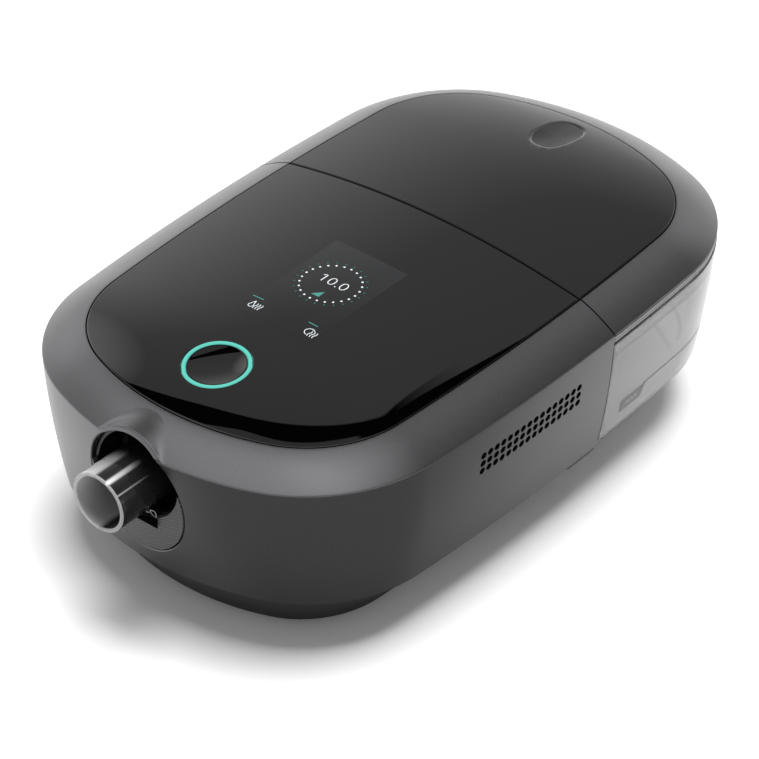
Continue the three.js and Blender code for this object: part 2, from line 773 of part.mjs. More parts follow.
// Lid frame, trim, tray and seal
const ringProfile = [
  [ringBottomInset, ringBottom],
  [0, edgeHeight],
  ...shoulderShares.map(shoulderPoint),
  [shoulderInset, ledgeHeight],
  [shoulderInset + ledgeWidth, ledgeHeight],
  [shoulderInset + ledgeWidth, ledgeHeight - ledgeThickness],
  [shoulderUnderInset, shoulderHeight - shoulderUnderDrop],
  [lidInnerInset + looseGap, ringBottom],
];
const lidWall = stack([planRing(lidInnerInset, lidBottom), planRing(lidInnerInset, ledgeHeight - fitGap)])
  .intersect(envelope)
  .intersect(box(-farX, farX, rearStartY, rearStartY + lidFrontWall, 0, ledgeHeight - fitGap));
const lidRing = loop(ringProfile).intersect(rearHalf).add(lidWall);
const lidTrim = loop([
  [trimInset, trimTop],
  [trimInset + trimLean, lidBottom],
  [trimInset + trimWidth, lidBottom],
  [trimInset + trimWidth, trimTop],
]).intersect(rearHalf);
const lidTrayStart = rearStartY + lidFrontWall + fitGap;
const lidSealStart = lidTrayStart + lidSealInset - lidInnerInset;
const sealInnerInset = lidSealInset + lidSealWidth;
const sealInnerStart = lidSealStart + lidSealWidth;
const lidRegion = (inset, startY, bottom, top) => stack([planRing(inset, bottom), planRing(inset, top)])
  .intersect(box(-farX, farX, startY, farY, 0, farZ));
const lidTray = lidRegion(lidInnerInset, lidTrayStart, lidTrayBottom, lidTrayTop)
  .subtract(lidRegion(lidSealInset - fitGap, lidSealStart - fitGap, 0, lidTrayBottom + lidSealDepth)
    .subtract(lidRegion(sealInnerInset + fitGap, sealInnerStart + fitGap, 0, farZ)));
const lidSeal = lidRegion(lidSealInset, lidSealStart, lidBottom, lidTrayBottom + lidSealDepth - fitGap)
  .subtract(lidRegion(sealInnerInset, sealInnerStart, 0, farZ));

// Curved hinge arms and their guides, both centred on the hinge line
const sector = (side, innerRadius, outerRadius, startDegrees, endDegrees, halfThickness, offset = 0) => {
  const steps = smallSegments;
  const rings = Array.from({ length: steps + 1 }, (unused, step) => {
    const angle = ((startDegrees + ((endDegrees - startDegrees) * step) / steps) * Math.PI) / 180;
    const at = (radius, x) => new THREE.Vector3(
      x,
      splitY - Math.sin(angle) * radius,
      hingeHeight - Math.cos(angle) * radius,
    );
    const low = side * hingeX + offset - halfThickness;
    const high = side * hingeX + offset + halfThickness;
    return [at(innerRadius, low), at(outerRadius, low), at(outerRadius, high), at(innerRadius, high)];
  });
  return stack(rings);
};
const hingeArm = (side) => sector(side, armInnerRadius, armOuterRadius, 0, armSweepDegrees, armWidth / 2);
const guideHalf = armWidth / 2 + fitGap + guideWall;
const hingeGuide = (side) => {
  const outer = armOuterRadius + fitGap + guideWall;
  const block = sector(side, guideInnerRadius, outer, guideStartDegrees, guideEndDegrees, guideHalf);
  const track = sector(side, 0, armOuterRadius + fitGap, 0, armSweepDegrees + guideStartDegrees,
    armWidth / 2 + fitGap);
  return block.subtract(track);
};

// Water tank
const footMiddle = wallFootHeight + tankFootRise / 2;
const tubOuter = stack([
  planRing(wallInset(wallFootHeight) + tankFootStep, wallFootHeight),
  planRing(wallInset(footMiddle) + tankFootStep / 4, footMiddle),
  ...wallRings(0, wallFootHeight + tankFootRise, tankTop),
]).intersect(rearHalf);
const tubSpace = (extra, frontWall, bottom, top) => stack(wallRings(extra, bottom, top))
  .intersect(box(-farX, farX, rearStartY + frontWall, farY, 0, farZ));
const tankFloorTop = wallFootHeight + tankFloor;
const ledgeBottom = tankLedgeTop - tankLedgeThickness;
const tankPortZ = portInZ - portInBore / 4;
const tankPortEnd = rearStartY + tankWall + looseGap;
const tankPort = (x) => rodY(x, tankPortZ, portInBore, 0, tankPortEnd, smallSegments)
  .intersect(box(-farX, farX, 0, farY, 0, ledgeBottom));
const tankTub = tubOuter
  .subtract(tubSpace(tankWall + tankFootStep / 2, tankWall, tankFloorTop, tankFloorTop + tankFootRise))
  .subtract(tubSpace(tankWall, tankWall, tankFloorTop + tankFootRise, ledgeBottom))
  .subtract(tubSpace(tankWall + tankLedgeWidth, tankWall + tankLedgeWidth, ledgeBottom - looseGap,
    tankLedgeTop + looseGap))
  .subtract(tubSpace(tankWall, tankWall, tankLedgeTop, edgeHeight))
  .subtract(rodZ(0, heaterY, heaterRadius + heaterHoleGap, 0, tankFloorTop + looseGap))
  .subtract(tankPort(portInX))
  .subtract(tankPort(portOutX));
const coverGap = tankWall + fitGap;
const tankSeal = tubSpace(coverGap, coverGap, tankLedgeTop + fitGap, tankSealTop)
  .subtract(tubSpace(coverGap + tankSealWidth, coverGap + tankSealWidth, 0, farZ)
    .intersect(box(-farX, farX, 0, farY, 0, farZ)));
const tankCover = tubSpace(coverGap, coverGap, tankCoverTop - tankCoverThickness, tankCoverTop);
const flangeBottom = tankFloorTop + fitGap;
const flangeTop = flangeBottom + plateFlangeThickness;
const tankBase = rodZ(0, heaterY, heaterRadius, wallFootHeight, flangeTop)
  .add(rodZ(0, heaterY, heaterRadius + plateFlange, flangeBottom, flangeTop));
const vane = (y) => {
  const steps = holeSegments;
  const profile = (shift) => Array.from({ length: steps + 1 }, (unused, step) => {
    const angle = (step / steps) * (Math.PI / 2);
    return [y + Math.sin(angle) * baffleDepth / 2 + shift, baffleTop - (1 - Math.cos(angle)) * baffleDepth];
  });
  const outline = [...profile(0), ...profile(baffleVane).reverse()];
  const ringAt = (x) => outline.map(([py, pz]) => new THREE.Vector3(x, py, pz));
  return stack([ringAt(-baffleHalf), ringAt(baffleHalf)]);
};
const baffleBottom = baffleTop - baffleThickness;
const bafflePost = (x) => rodZ(
  x,
  (baffleFrontY + baffleRearY) / 2,
  bafflePostRadius,
  baffleBottom,
  tankCoverTop - tankCoverThickness - fitGap,
  holeSegments,
);
const tankBaffle = box(-baffleHalf, baffleHalf, baffleFrontY, baffleRearY, baffleBottom, baffleTop)
  .add(vane(baffleFrontY))
  .add(vane(baffleRearY - baffleVane))
  .add(bafflePost(bafflePostInset - baffleHalf))
  .add(bafflePost(baffleHalf - bafflePostInset));

// Blower
const blowerTop = blowerBase + blowerHeight;
const spoutOuter = box(spoutX - spoutHalf, spoutX + spoutHalf, blowerY, spoutEndY,
  spoutZ - spoutHalfHeight, spoutZ + spoutHalfHeight);
const spoutInner = box(spoutX - spoutHalf + blowerWall, spoutX + spoutHalf - blowerWall, blowerY,
  spoutEndY + looseGap, spoutZ - spoutHalfHeight + blowerWall, spoutZ + spoutHalfHeight - blowerWall);
const blowerCase = rodZ(blowerX, blowerY, blowerRadius, blowerBase, blowerTop)
  .add(spoutOuter)
  .subtract(rodZ(blowerX, blowerY, blowerRadius - blowerWall, blowerBase + blowerWall, farZ))
  .subtract(spoutInner);
const blowerCover = rodZ(blowerX, blowerY, blowerRadius, blowerTop + fitGap,
  blowerTop + fitGap + blowerCoverThickness)
  .subtract(rodZ(blowerX, blowerY, blowerInletRadius, 0, farZ));
const blowerMotor = rodZ(blowerX, blowerY, motorRadius, blowerBase + blowerWall + fitGap,
  blowerBase + blowerWall + fitGap + motorHeight);
const blade = (index) => {
  const turn = (index / bladeCount) * Math.PI * 2;
  const middle = (bladeInnerRadius + bladeOuterRadius) / 2;
  const geometry = new THREE.BoxGeometry(bladeOuterRadius - bladeInnerRadius, bladeThickness,
    impellerHeight - impellerDisc / 2);
  geometry.rotateZ(bladeLeanShare);
  geometry.translate(middle, 0, impellerBase + impellerDisc / 2 + (impellerHeight - impellerDisc / 2) / 2);
  geometry.rotateZ(turn);
  geometry.translate(blowerX, blowerY, 0);
  return geometryToSolid(geometry);
};
const impellerTop = impellerBase + impellerHeight;
let impeller = rodZ(blowerX, blowerY, impellerRadius, impellerBase, impellerBase + impellerDisc)
  .add(rodZ(blowerX, blowerY, impellerHubRadius, impellerBase, impellerTop, smallSegments));
for (let index = 0; index < bladeCount; index += 1) impeller = impeller.add(blade(index));
const bootTop = blowerBase - fitGap;
const blowerBoot = rodZ(blowerX, blowerY, bootRadius, bootTop - bootThickness, bootTop)
  .subtract(rodZ(blowerX, blowerY, bootHole, 0, farZ));

// Filter, foam, card and inlet on the left side
const filterFrame = box(-filterFaceX, -filterFaceX + filterFrameDepth, filterDoorFrontY, filterDoorRearY,
  filterDoorBottom, filterDoorTop)
  .subtract(box(-farX, 0, filterDoorFrontY + filterFrameWall, filterDoorRearY - filterFrameWall,
    filterDoorBottom + filterFrameWall, filterDoorTop - filterFrameWall));
const filterGap = filterFrameWall + fitGap;
const airFilter = box(-filterFaceX + filterInset, -filterFaceX + filterInset + filterDepth,
  filterDoorFrontY + filterGap, filterDoorRearY - filterGap, filterDoorBottom + filterGap,
  filterDoorTop - filterGap);
const mufflerFoam = box(-foamOuterX, -foamInnerX, foamFrontY, foamRearY, foamBottom, foamTop);
const cardHalf = cardWidth / 2;
const cardFrontY = cardCentreY - cardHalf;
const cardRearY = cardCentreY + cardHalf;
const cardInnerX = -cardOuterX + cardLength;
const memoryCard = box(-cardOuterX, cardInnerX, cardFrontY, cardRearY, cardTop - cardThickness, cardTop);
const socketTop = cardTop - cardThickness - fitGap;
const cardSocket = box(
  -cardOuterX + socketMargin,
  cardInnerX,
  cardFrontY - socketMargin,
  frontEndY - bulkheadThickness - fitGap,
  socketTop - socketThickness,
  socketTop,
);
const inletEndX = -inletFaceX + inletLength;
const powerInlet = rodX(inletY, inletZ, inletRadius, -inletFaceX, inletEndX)
  .subtract(rodX(inletY, inletZ, inletBoreRadius, -farX, -inletFaceX + inletBoreDepth))
  .add(rodX(inletY, inletZ, inletPinRadius, -inletFaceX + inletPinDrop, inletEndX, holeSegments));
const grilleMesh = box(halfWidth - grilleMeshDepth - grilleMeshThickness, halfWidth - grilleMeshDepth,
  grilleFirstY - grilleMargin, grilleFirstY + grillePitchY * (grilleColumns - 1) + grilleMargin,
  grilleBottomZ - grilleMargin, grilleBottomZ + grillePitchZ * (grilleRows - 1) + grilleMargin);

// Ports towards the tank
const portSeal = (x, z, radius, bore) => rodY(x, z, radius - fitGap, frontEndY - portSealLength, frontEndY)
  .subtract(rodY(x, z, bore, 0, farY));

const group = new THREE.Group();
group.name = 'cpap_machine';
const finish = (name, solid, color, roughness, metalness = 0, opacity = 1) => {
  const mesh = solid.getMesh();
  const geometry = new THREE.BufferGeometry();
  geometry.setAttribute('position', new THREE.BufferAttribute(new Float32Array(mesh.vertProperties), 3));
  geometry.setIndex(new THREE.BufferAttribute(new Uint32Array(mesh.triVerts), 1));
  geometry.translate(0, centreShiftY, 0);
  geometry.computeVertexNormals();
  const material = new THREE.MeshStandardMaterial({ color, roughness, metalness });
  if (opacity < 1) {
    material.transparent = true;
    material.opacity = opacity;
  }
  const node = new THREE.Mesh(geometry, material);
  node.name = name;
  group.add(node);
};

const bodyGrey = 0x6a6a6d;
const darkGrey = 0x2b2c2f;
const glossBlack = 0x151517;
const matteBlack = 0x101012;
const boardGreen = 0x1f5a3c;
const smoke = 0xa8abb0;
const steel = 0xb4b6ba;
const rubber = 0x1c1c1e;
const silicone = 0xc9ccd0;

finish('main_housing', housing, bodyGrey, 0.42, 0.25);
finish('base_pan', basePan, darkGrey, 0.6);
const footSpots = [
  [frontFootX, frontFootY],
  [-frontFootX, frontFootY],
  [rearFootX, rearFootY],
  [-rearFootX, rearFootY],
];
footSpots.forEach(([x, y], index) => {
  finish(`foot_${index + 1}`, rodZ(x, y, footRadius, 0, footHeight, smallSegments), rubber, 0.85);
});
const screwBottom = footHeight - screwHeight;
const screwSpots = [
  [screwX, frontScrewY],
  [-screwX, frontScrewY],
  [screwX, rearScrewY],
  [-screwX, rearScrewY],
];
screwSpots.forEach(([x, y], index) => {
  const screw = rodZ(x, y, screwRadius, screwBottom, footHeight, smallSegments);
  finish(`base_screw_${index + 1}`, screw, steel, 0.35, 0.9);
});
finish('control_panel', controlPanel, glossBlack, 0.08);
finish('light_ring', lightRing, 0x3fd8c0, 0.3);
finish('power_button', powerButton, glossBlack, 0.15);
const displayHalf = displayWidth / 2;
const displayBottom = displayTop - displayThickness;
const controlBoardTop = controlBoardBase + boardThickness;
const display = box(-displayHalf, displayHalf, displayFront, displayRear, displayBottom, displayTop);
const controlBoard = box(-controlBoardHalf, controlBoardHalf, controlBoardFront, controlBoardRear,
  controlBoardBase, controlBoardTop);
finish('display_module', display, 0x20242a, 0.2);
finish('control_board', controlBoard, boardGreen, 0.5);
const switchHalf = switchSize / 2;
const switchBottom = switchTop - switchHeight;
const switchFront = buttonY - switchHalf;
const switchRear = buttonY + switchHalf;
const buttonSwitch = box(-switchHalf, switchHalf, switchFront, switchRear, switchBottom, switchTop);
finish('button_switch', buttonSwitch, matteBlack, 0.5);
const mainBoardTop = mainBoardBase + boardThickness;
const boardX = mainBoardHalf;
const mainBoard = box(-boardX, boardX, mainBoardFront, mainBoardRear, mainBoardBase, mainBoardTop);
finish('main_board', mainBoard, boardGreen, 0.5);
finish('blower_case', blowerCase, matteBlack, 0.5);
finish('blower_cover', blowerCover, darkGrey, 0.5);
finish('impeller', impeller, silicone, 0.4);
finish('blower_motor', blowerMotor, steel, 0.3, 0.9);
finish('blower_boot', blowerBoot, rubber, 0.85);
finish('intake_duct', pipe(intakePath, intakeRadius, intakeRadius - ductWall), darkGrey, 0.6);
finish('delivery_duct', pipe(deliveryPath, deliveryRadius, deliveryRadius - ductWall), darkGrey, 0.6);
finish('return_duct', pipe(returnPath, returnRadius, returnRadius - ductWall), darkGrey, 0.6);
finish('muffler_foam', mufflerFoam, 0x3a3a3c, 0.95);
finish('filter_frame', filterFrame, darkGrey, 0.6);
finish('air_filter', airFilter, 0x8d9196, 0.95);
finish('filter_door', wallPiece(...filterDoorSides), bodyGrey, 0.42, 0.25);
finish('card_door', wallPiece(...cardDoorSides), darkGrey, 0.6);
finish('card_socket', cardSocket, steel, 0.35, 0.9);
finish('memory_card', memoryCard, 0x2a3340, 0.5);
finish('power_inlet', powerInlet, matteBlack, 0.5);
finish('grille_mesh', grilleMesh, matteBlack, 0.9);
finish('outlet_cup', outletCup, matteBlack, 0.35);
finish('outlet_plate', outletPlate, 0x515155, 0.7);
finish('plate_mark', plateMark, matteBlack, 0.5);
finish('outlet_spigot', outletSpigot, 0x6d6f72, 0.1, 0, 0.6);
finish('outlet_seal', outletSeal, rubber, 0.8);
finish('port_seal_in', portSeal(portInX, portInZ, portInRadius, portInBore), silicone, 0.6);
finish('port_seal_out', portSeal(portOutX, portOutZ, portOutRadius, portOutBore), silicone, 0.6);
const heaterPlate = rodZ(0, heaterY, heaterRadius, heaterTop - heaterThickness, heaterTop);
const ringBase = panFloor + fitGap;
const heaterRing = rodZ(0, heaterY, heaterRingRadius, ringBase, ringBase + heaterRingHeight)
  .subtract(rodZ(0, heaterY, heaterRingHole, 0, farZ));
finish('heater_plate', heaterPlate, steel, 0.3, 0.9);
finish('heater_ring', heaterRing, rubber, 0.9);
finish('hinge_guide_right', hingeGuide(1), darkGrey, 0.5);
finish('hinge_guide_left', hingeGuide(-1), darkGrey, 0.5);
finish('lid_ring', lidRing, bodyGrey, 0.42, 0.25);
finish('lid_insert', lidInsert, glossBlack, 0.08);
finish('lid_trim', lidTrim, 0xb8babd, 0.25, 0, 0.8);
finish('lid_tray', lidTray, darkGrey, 0.6);
finish('lid_seal', lidSeal, silicone, 0.7);
finish('hinge_arm_right', hingeArm(1), darkGrey, 0.4);
finish('hinge_arm_left', hingeArm(-1), darkGrey, 0.4);
finish('tank_tub', tankTub, smoke, 0.1, 0, 0.45);
finish('tank_cover', tankCover, smoke, 0.15, 0, 0.6);
finish('tank_seal', tankSeal, silicone, 0.7);
finish('tank_base', tankBase, steel, 0.25, 0.95);
finish('tank_baffle', tankBaffle, 0x4a4d52, 0.3, 0, 0.8);

export default group;
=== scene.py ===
import math

import bpy
import numpy as np
from mathutils import Matrix, Vector


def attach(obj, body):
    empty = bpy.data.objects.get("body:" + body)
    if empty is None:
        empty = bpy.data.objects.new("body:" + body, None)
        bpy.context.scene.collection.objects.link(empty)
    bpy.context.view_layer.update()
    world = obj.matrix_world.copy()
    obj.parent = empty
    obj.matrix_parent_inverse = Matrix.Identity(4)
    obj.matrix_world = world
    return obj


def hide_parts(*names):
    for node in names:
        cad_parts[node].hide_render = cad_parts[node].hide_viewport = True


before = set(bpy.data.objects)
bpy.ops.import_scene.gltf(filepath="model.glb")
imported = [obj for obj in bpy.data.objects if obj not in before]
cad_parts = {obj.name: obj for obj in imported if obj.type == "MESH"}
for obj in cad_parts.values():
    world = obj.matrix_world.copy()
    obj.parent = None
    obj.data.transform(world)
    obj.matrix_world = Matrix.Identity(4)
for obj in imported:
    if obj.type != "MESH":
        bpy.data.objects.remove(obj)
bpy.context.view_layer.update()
print("frame loaded:", len(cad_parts), "nodes")

# The machine's body, in millimetres from the middle of its plan
body = {
    "halfWidth": 79.45,
    "halfLength": 125.7,
    "sideRadius": 1000.0,
    "cornerRadius": 55.4,
    "endRadius": 113.6,
    "topHeight": 85.0,
    "edgeHeight": 70.9,
    "shoulderInset": 14.8,
    "shoulderHeight": 78.85,
    "shoulderBulge": 0.75,
    "crownFlatness": 5.5,
    "ledgeDrop": 3.2,
    "wallFoot": 22.3,
    "footInset": 5.8,
    "leanShare": 0.365,
    "wallThickness": 2.4,
    "splitY": 23.35,
    "splitGap": 0.6,
    "frameShift": 6.35,  # from the plan's middle to the frame's origin, along Y
    "fitGap": 0.3,
    "sideSteps": 30,
    "cornerSteps": 44,
    "endSteps": 34,
}
frontEndY = body["splitY"] - body["splitGap"] / 2
rearStartY = body["splitY"] + body["splitGap"] / 2
ledgeHeight = body["shoulderHeight"] - body["ledgeDrop"]
coverSeat = ledgeHeight + body["fitGap"]  # height that the top covers rest at
far = 300.0  # well past the body on every side


# Points, outlines and heights
def toMetres(points):
    moved = np.array(points, dtype=float).reshape(-1, 3)
    moved[:, 1] += body["frameShift"]
    return moved * 0.001


def fullTurn(count):
    return np.linspace(0, 2 * math.pi, count, endpoint=False)


def quarterArcs():
    sideX = body["halfWidth"] - body["sideRadius"]
    endY = body["halfLength"] - body["endRadius"]
    apart = math.hypot(sideX, endY)
    sideReach = body["sideRadius"] - body["cornerRadius"]
    endReach = body["endRadius"] - body["cornerRadius"]
    along = (sideReach**2 - endReach**2 + apart**2) / (2 * apart)
    across = math.sqrt(sideReach**2 - along**2)
    cornerX = sideX + (-sideX * along - endY * across) / apart
    cornerY = (endY * along - sideX * across) / apart
    first = math.atan2(cornerY, cornerX - sideX)
    last = math.atan2(cornerY - endY, cornerX)
    return [
        (sideX, 0.0, body["sideRadius"], 0.0, first, body["sideSteps"]),
        (cornerX, cornerY, body["cornerRadius"], first, last, body["cornerSteps"]),
        (0.0, endY, body["endRadius"], last, math.pi / 2, body["endSteps"]),
    ]


arcs = quarterArcs()
endCentreY = arcs[2][1]


def quarterOutline(inset):
    points = []
    for x, y, radius, start, end, steps in arcs:
        turns = np.linspace(start, end, steps + 1)[:-1]
        reach = radius - inset
        points.append(np.column_stack([x + reach * np.cos(turns), y + reach * np.sin(turns)]))
    points.append(np.array([[0.0, body["halfLength"] - inset]]))
    return np.vstack(points)


def outline(inset):
    quarter = quarterOutline(inset)
    forward, backward = quarter[:-1], quarter[:0:-1]
    return np.vstack([forward, backward * [-1, 1], forward * [-1, -1], backward * [1, -1]])


def ring(inset, height):
    points = outline(inset)
    return np.column_stack([points, np.full(len(points), height)])


def wallInset(height):
    drop = (body["edgeHeight"] - height) / (body["edgeHeight"] - body["wallFoot"])
    return body["footInset"] * (body["leanShare"] * drop + (1 - body["leanShare"]) * drop * drop)


coverOutline = quarterOutline(body["shoulderInset"])
crownLength = body["halfLength"] - body["shoulderInset"]


def crownHeight(x, y):
    half = np.interp(np.abs(y), coverOutline[:, 1], coverOutline[:, 0], right=0.0)
    across = np.minimum(1.0, np.abs(x) / np.maximum(half, 1e-6)) ** 2
    along = np.minimum(1.0, np.abs(y) / crownLength) ** body["crownFlatness"]
    rise = body["topHeight"] - body["shoulderHeight"]
    return body["shoulderHeight"] + rise * (1 - across) * (1 - along)


def insetAt(x, y):
    x, y = np.abs(x), np.abs(y)
    sideX, cornerX, cornerY = arcs[0][0], arcs[1][0], arcs[1][1]
    turn = np.arctan2(y - cornerY, x - cornerX)
    side = arcs[0][2] - np.hypot(x - sideX, y)
    corner = arcs[1][2] - np.hypot(x - cornerX, y - cornerY)
    end = arcs[2][2] - np.hypot(x, y - endCentreY)
    return np.where(turn < arcs[0][4], side, np.where(turn > arcs[1][4], end, corner))


def shoulderAt(x, y):
    inset = insetAt(x, y)
    share = np.minimum(inset / body["shoulderInset"], 1.0)
    rise = body["shoulderHeight"] - body["edgeHeight"]
    height = body["edgeHeight"] + rise * share + body["shoulderBulge"] * 4 * share * (1 - share)
    return np.where(inset < 0, body["edgeHeight"] + inset * 5, height)


# How far a rounded edge has opened at a depth below its rim
def edgeGrowth(depth, edge):
    return edge - math.sqrt(max(0.0, edge**2 - (edge - min(depth, edge)) ** 2))


# Pieces and solids
def placeNew(name, data):
    piece = bpy.data.objects.new(name, data)
    bpy.context.scene.collection.objects.link(piece)
    return piece


def rawPiece(name, points=None, faces=(), edges=()):
    mesh = bpy.data.meshes.new(name)
    if points is not None:
        mesh.from_pydata(np.array(points, dtype=float).tolist(), edges, faces)
        mesh.update()
    return placeNew(name, mesh)


def meshPoints(mesh):
    points = np.zeros(len(mesh.vertices) * 3)
    mesh.vertices.foreach_get("co", points)
    return points.reshape(-1, 3)


def turnOut(mesh):
    mesh.calc_loop_triangles()
    points = meshPoints(mesh)
    corners = np.zeros(len(mesh.loop_triangles) * 3, dtype=np.int32)
    mesh.loop_triangles.foreach_get("vertices", corners)
    a, b, c = (points[corners.reshape(-1, 3)[:, k]] for k in range(3))
    if np.einsum("ij,ij->i", a, np.cross(b, c)).sum() < 0:
        mesh.flip_normals()


def newPiece(name, points, faces):
    piece = rawPiece(name, toMetres(points), faces)
    turnOut(piece.data)
    return piece


def ringSolid(name, rings, closed=False):
    rings = np.array(rings)
    total, count = rings.shape[0], rings.shape[1]
    faces = []
    for band in range(total if closed else total - 1):
        low, high = band * count, ((band + 1) % total) * count
        faces += [(low + s, low + (s + 1) % count, high + (s + 1) % count, high + s) for s in range(count)]
    points = rings.reshape(-1, 3)
    if not closed:
        points = np.vstack([points, rings[0].mean(0), rings[-1].mean(0)])
        low, high, last = total * count, total * count + 1, (total - 1) * count
        faces += [(low, (s + 1) % count, s) for s in range(count)]
        faces += [(high, last + s, last + (s + 1) % count) for s in range(count)]
    return newPiece(name, points, faces)


def boxSolid(name, low, high):
    corners = [(low[0], low[1]), (high[0], low[1]), (high[0], high[1]), (low[0], high[1])]
    return ringSolid(name, [[(x, y, z) for x, y in corners] for z in (low[2], high[2])])


def slab(startY=-far, endY=far, low=-far, high=far):
    return boxSolid("slab", (-far, startY, low), (far, endY, high))


def halfBox(front, gap=0.0):
    return slab(endY=frontEndY - gap) if front else slab(rearStartY + gap)


def stack(name, profile):
    return ringSolid(name, [ring(inset, height) for inset, height in profile])


def turned(name, axis, centre, profile, closed=False, segments=96):
    turns = fullTurn(segments)
    rings = []
    for place, radius in profile:
        u, v = centre[0] + radius * np.cos(turns), centre[1] + radius * np.sin(turns)
        w = np.full(segments, place)
        rings.append(np.column_stack({"x": [w, u, v], "y": [u, w, v], "z": [u, v, w]}[axis]))
    return ringSolid(name, rings, closed)


def roundedRod(name, axis, centre, radius, start, end, edge=0.3, segments=96):
    bend = [(edge * (1 - math.sin(t)), edge * (1 - math.cos(t))) for t in np.linspace(0, math.pi / 2, 4)]
    profile = [(start + a, radius - b) for a, b in reversed(bend)] + [(end - a, radius - b) for a, b in bend]
    return turned(name, axis, centre, profile, segments=segments)


def roundedTube(name, axis, centre, outer, inner, start, end, edge=0.3, segments=96):
    bend = [(0, 0), (0.29, 0.04), (0.71, 0.29), (0.96, 0.71), (1, 1)]
    profile = [(start + edge * (1 - a), inner + edge * b) for a, b in bend]
    profile += [(start + edge * b, outer - edge * (1 - a)) for a, b in bend]
    profile += [(end - edge * (1 - a), outer - edge * b) for a, b in bend]
    profile += [(end - edge * b, inner + edge * (1 - a)) for a, b in bend]
    return turned(name, axis, centre, profile, closed=True, segments=segments)


def rodHole(axis, centre, radius, start=-far, end=far, segments=96):
    return roundedRod("hole", axis, centre, radius, start, end, 0.01, segments)


def evaluatedMesh(piece):
    bpy.context.view_layer.update()
    graph = bpy.context.evaluated_depsgraph_get()
    return bpy.data.meshes.new_from_object(piece.evaluated_get(graph), depsgraph=graph)


def plainMesh(piece):
    made, old = evaluatedMesh(piece), piece.data
    piece.modifiers.clear()
    piece.data = made
    bpy.data.meshes.remove(old)
    made.name = piece.name


def combine(piece, others, operation):
    for other in others:
        modifier = piece.modifiers.new("combine", "BOOLEAN")
        modifier.operation = operation
        modifier.solver = "MANIFOLD"
        modifier.object = other
        before = len(piece.data.polygons)
        plainMesh(piece)
        if len(piece.data.polygons) in (0, before):
            print("combine changed nothing:", piece.name, other.name, operation)
        bpy.data.objects.remove(other)
    return piece


def carve(piece, *others):
    return combine(piece, others, "DIFFERENCE")


def fuse(piece, *others):
    return combine(piece, others, "UNION")


def keep(piece, *others):
    return combine(piece, others, "INTERSECT")


def dress(piece, finish, bodyName, nodes=(), degrees=32):
    piece.data.materials.clear()
    piece.data.materials.append(paint[finish])
    if degrees:
        piece.data.shade_smooth()
        piece.data.set_sharp_from_angle(angle=math.radians(degrees))
    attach(piece, bodyName)
    if nodes:
        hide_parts(*nodes)
    return piece


# Node helpers
def addNode(tree, kind, values=None, **settings):
    node = tree.nodes.new(kind)
    for key, value in settings.items():
        setattr(node, key, value)
    for key, value in (values or {}).items():
        if isinstance(value, bpy.types.NodeSocket):
            tree.links.new(value, node.inputs[key])
        else:
            node.inputs[key].default_value = value
    return node


def nodeOut(tree, kind, values=None, **settings):
    return addNode(tree, kind, values, **settings).outputs[0]


def calc(tree, operation, first, second=0.0, clamp=False):
    return nodeOut(tree, "ShaderNodeMath", {0: first, 1: second}, operation=operation, use_clamp=clamp)


def plus(tree, first, second):
    return calc(tree, "ADD", first, second)


def minus(tree, first, second):
    return calc(tree, "SUBTRACT", first, second)


def times(tree, first, second):
    return calc(tree, "MULTIPLY", first, second)


def ramp(tree, value, fromLow, fromHigh, low=0.0, high=1.0, **settings):
    return nodeOut(tree, "ShaderNodeMapRange", {
        "Value": value, "From Min": fromLow, "From Max": fromHigh, "To Min": low, "To Max": high}, **settings)


def newTree(name, inputs):
    tree = bpy.data.node_groups.new(name, "GeometryNodeTree")
    tree.interface.new_socket("Geometry", in_out="INPUT", socket_type="NodeSocketGeometry")
    for label, kind, value in inputs:
        socket = tree.interface.new_socket(label, in_out="INPUT", socket_type="NodeSocket" + kind)
        socket.default_value = value
    tree.interface.new_socket("Material", in_out="INPUT", socket_type="NodeSocketMaterial")
    tree.interface.new_socket("Geometry", in_out="OUTPUT", socket_type="NodeSocketGeometry")
    return tree, tree.nodes.new("NodeGroupInput").outputs, tree.nodes.new("NodeGroupOutput")


def endTree(tree, given, leave, geometry):
    realized = nodeOut(tree, "GeometryNodeRealizeInstances", {"Geometry": geometry})
    painted = nodeOut(tree, "GeometryNodeSetMaterial", {"Geometry": realized, "Material": given["Material"]})
    tree.links.new(painted, leave.inputs[0])
    return tree


def copiesOn(tree, points, instance):
    return nodeOut(tree, "GeometryNodeInstanceOnPoints", {"Points": points, "Instance": instance})


def runTree(piece, tree, finish, values):
    values = {**values, "Material": paint[finish]}
    modifier = piece.modifiers.new(tree.name, "NODES")
    modifier.node_group = tree
    for item in tree.interface.items_tree:
        if item.item_type == "SOCKET" and item.in_out == "INPUT" and item.name in values:
            modifier[item.identifier] = values[item.name]
    plainMesh(piece)
    return piece


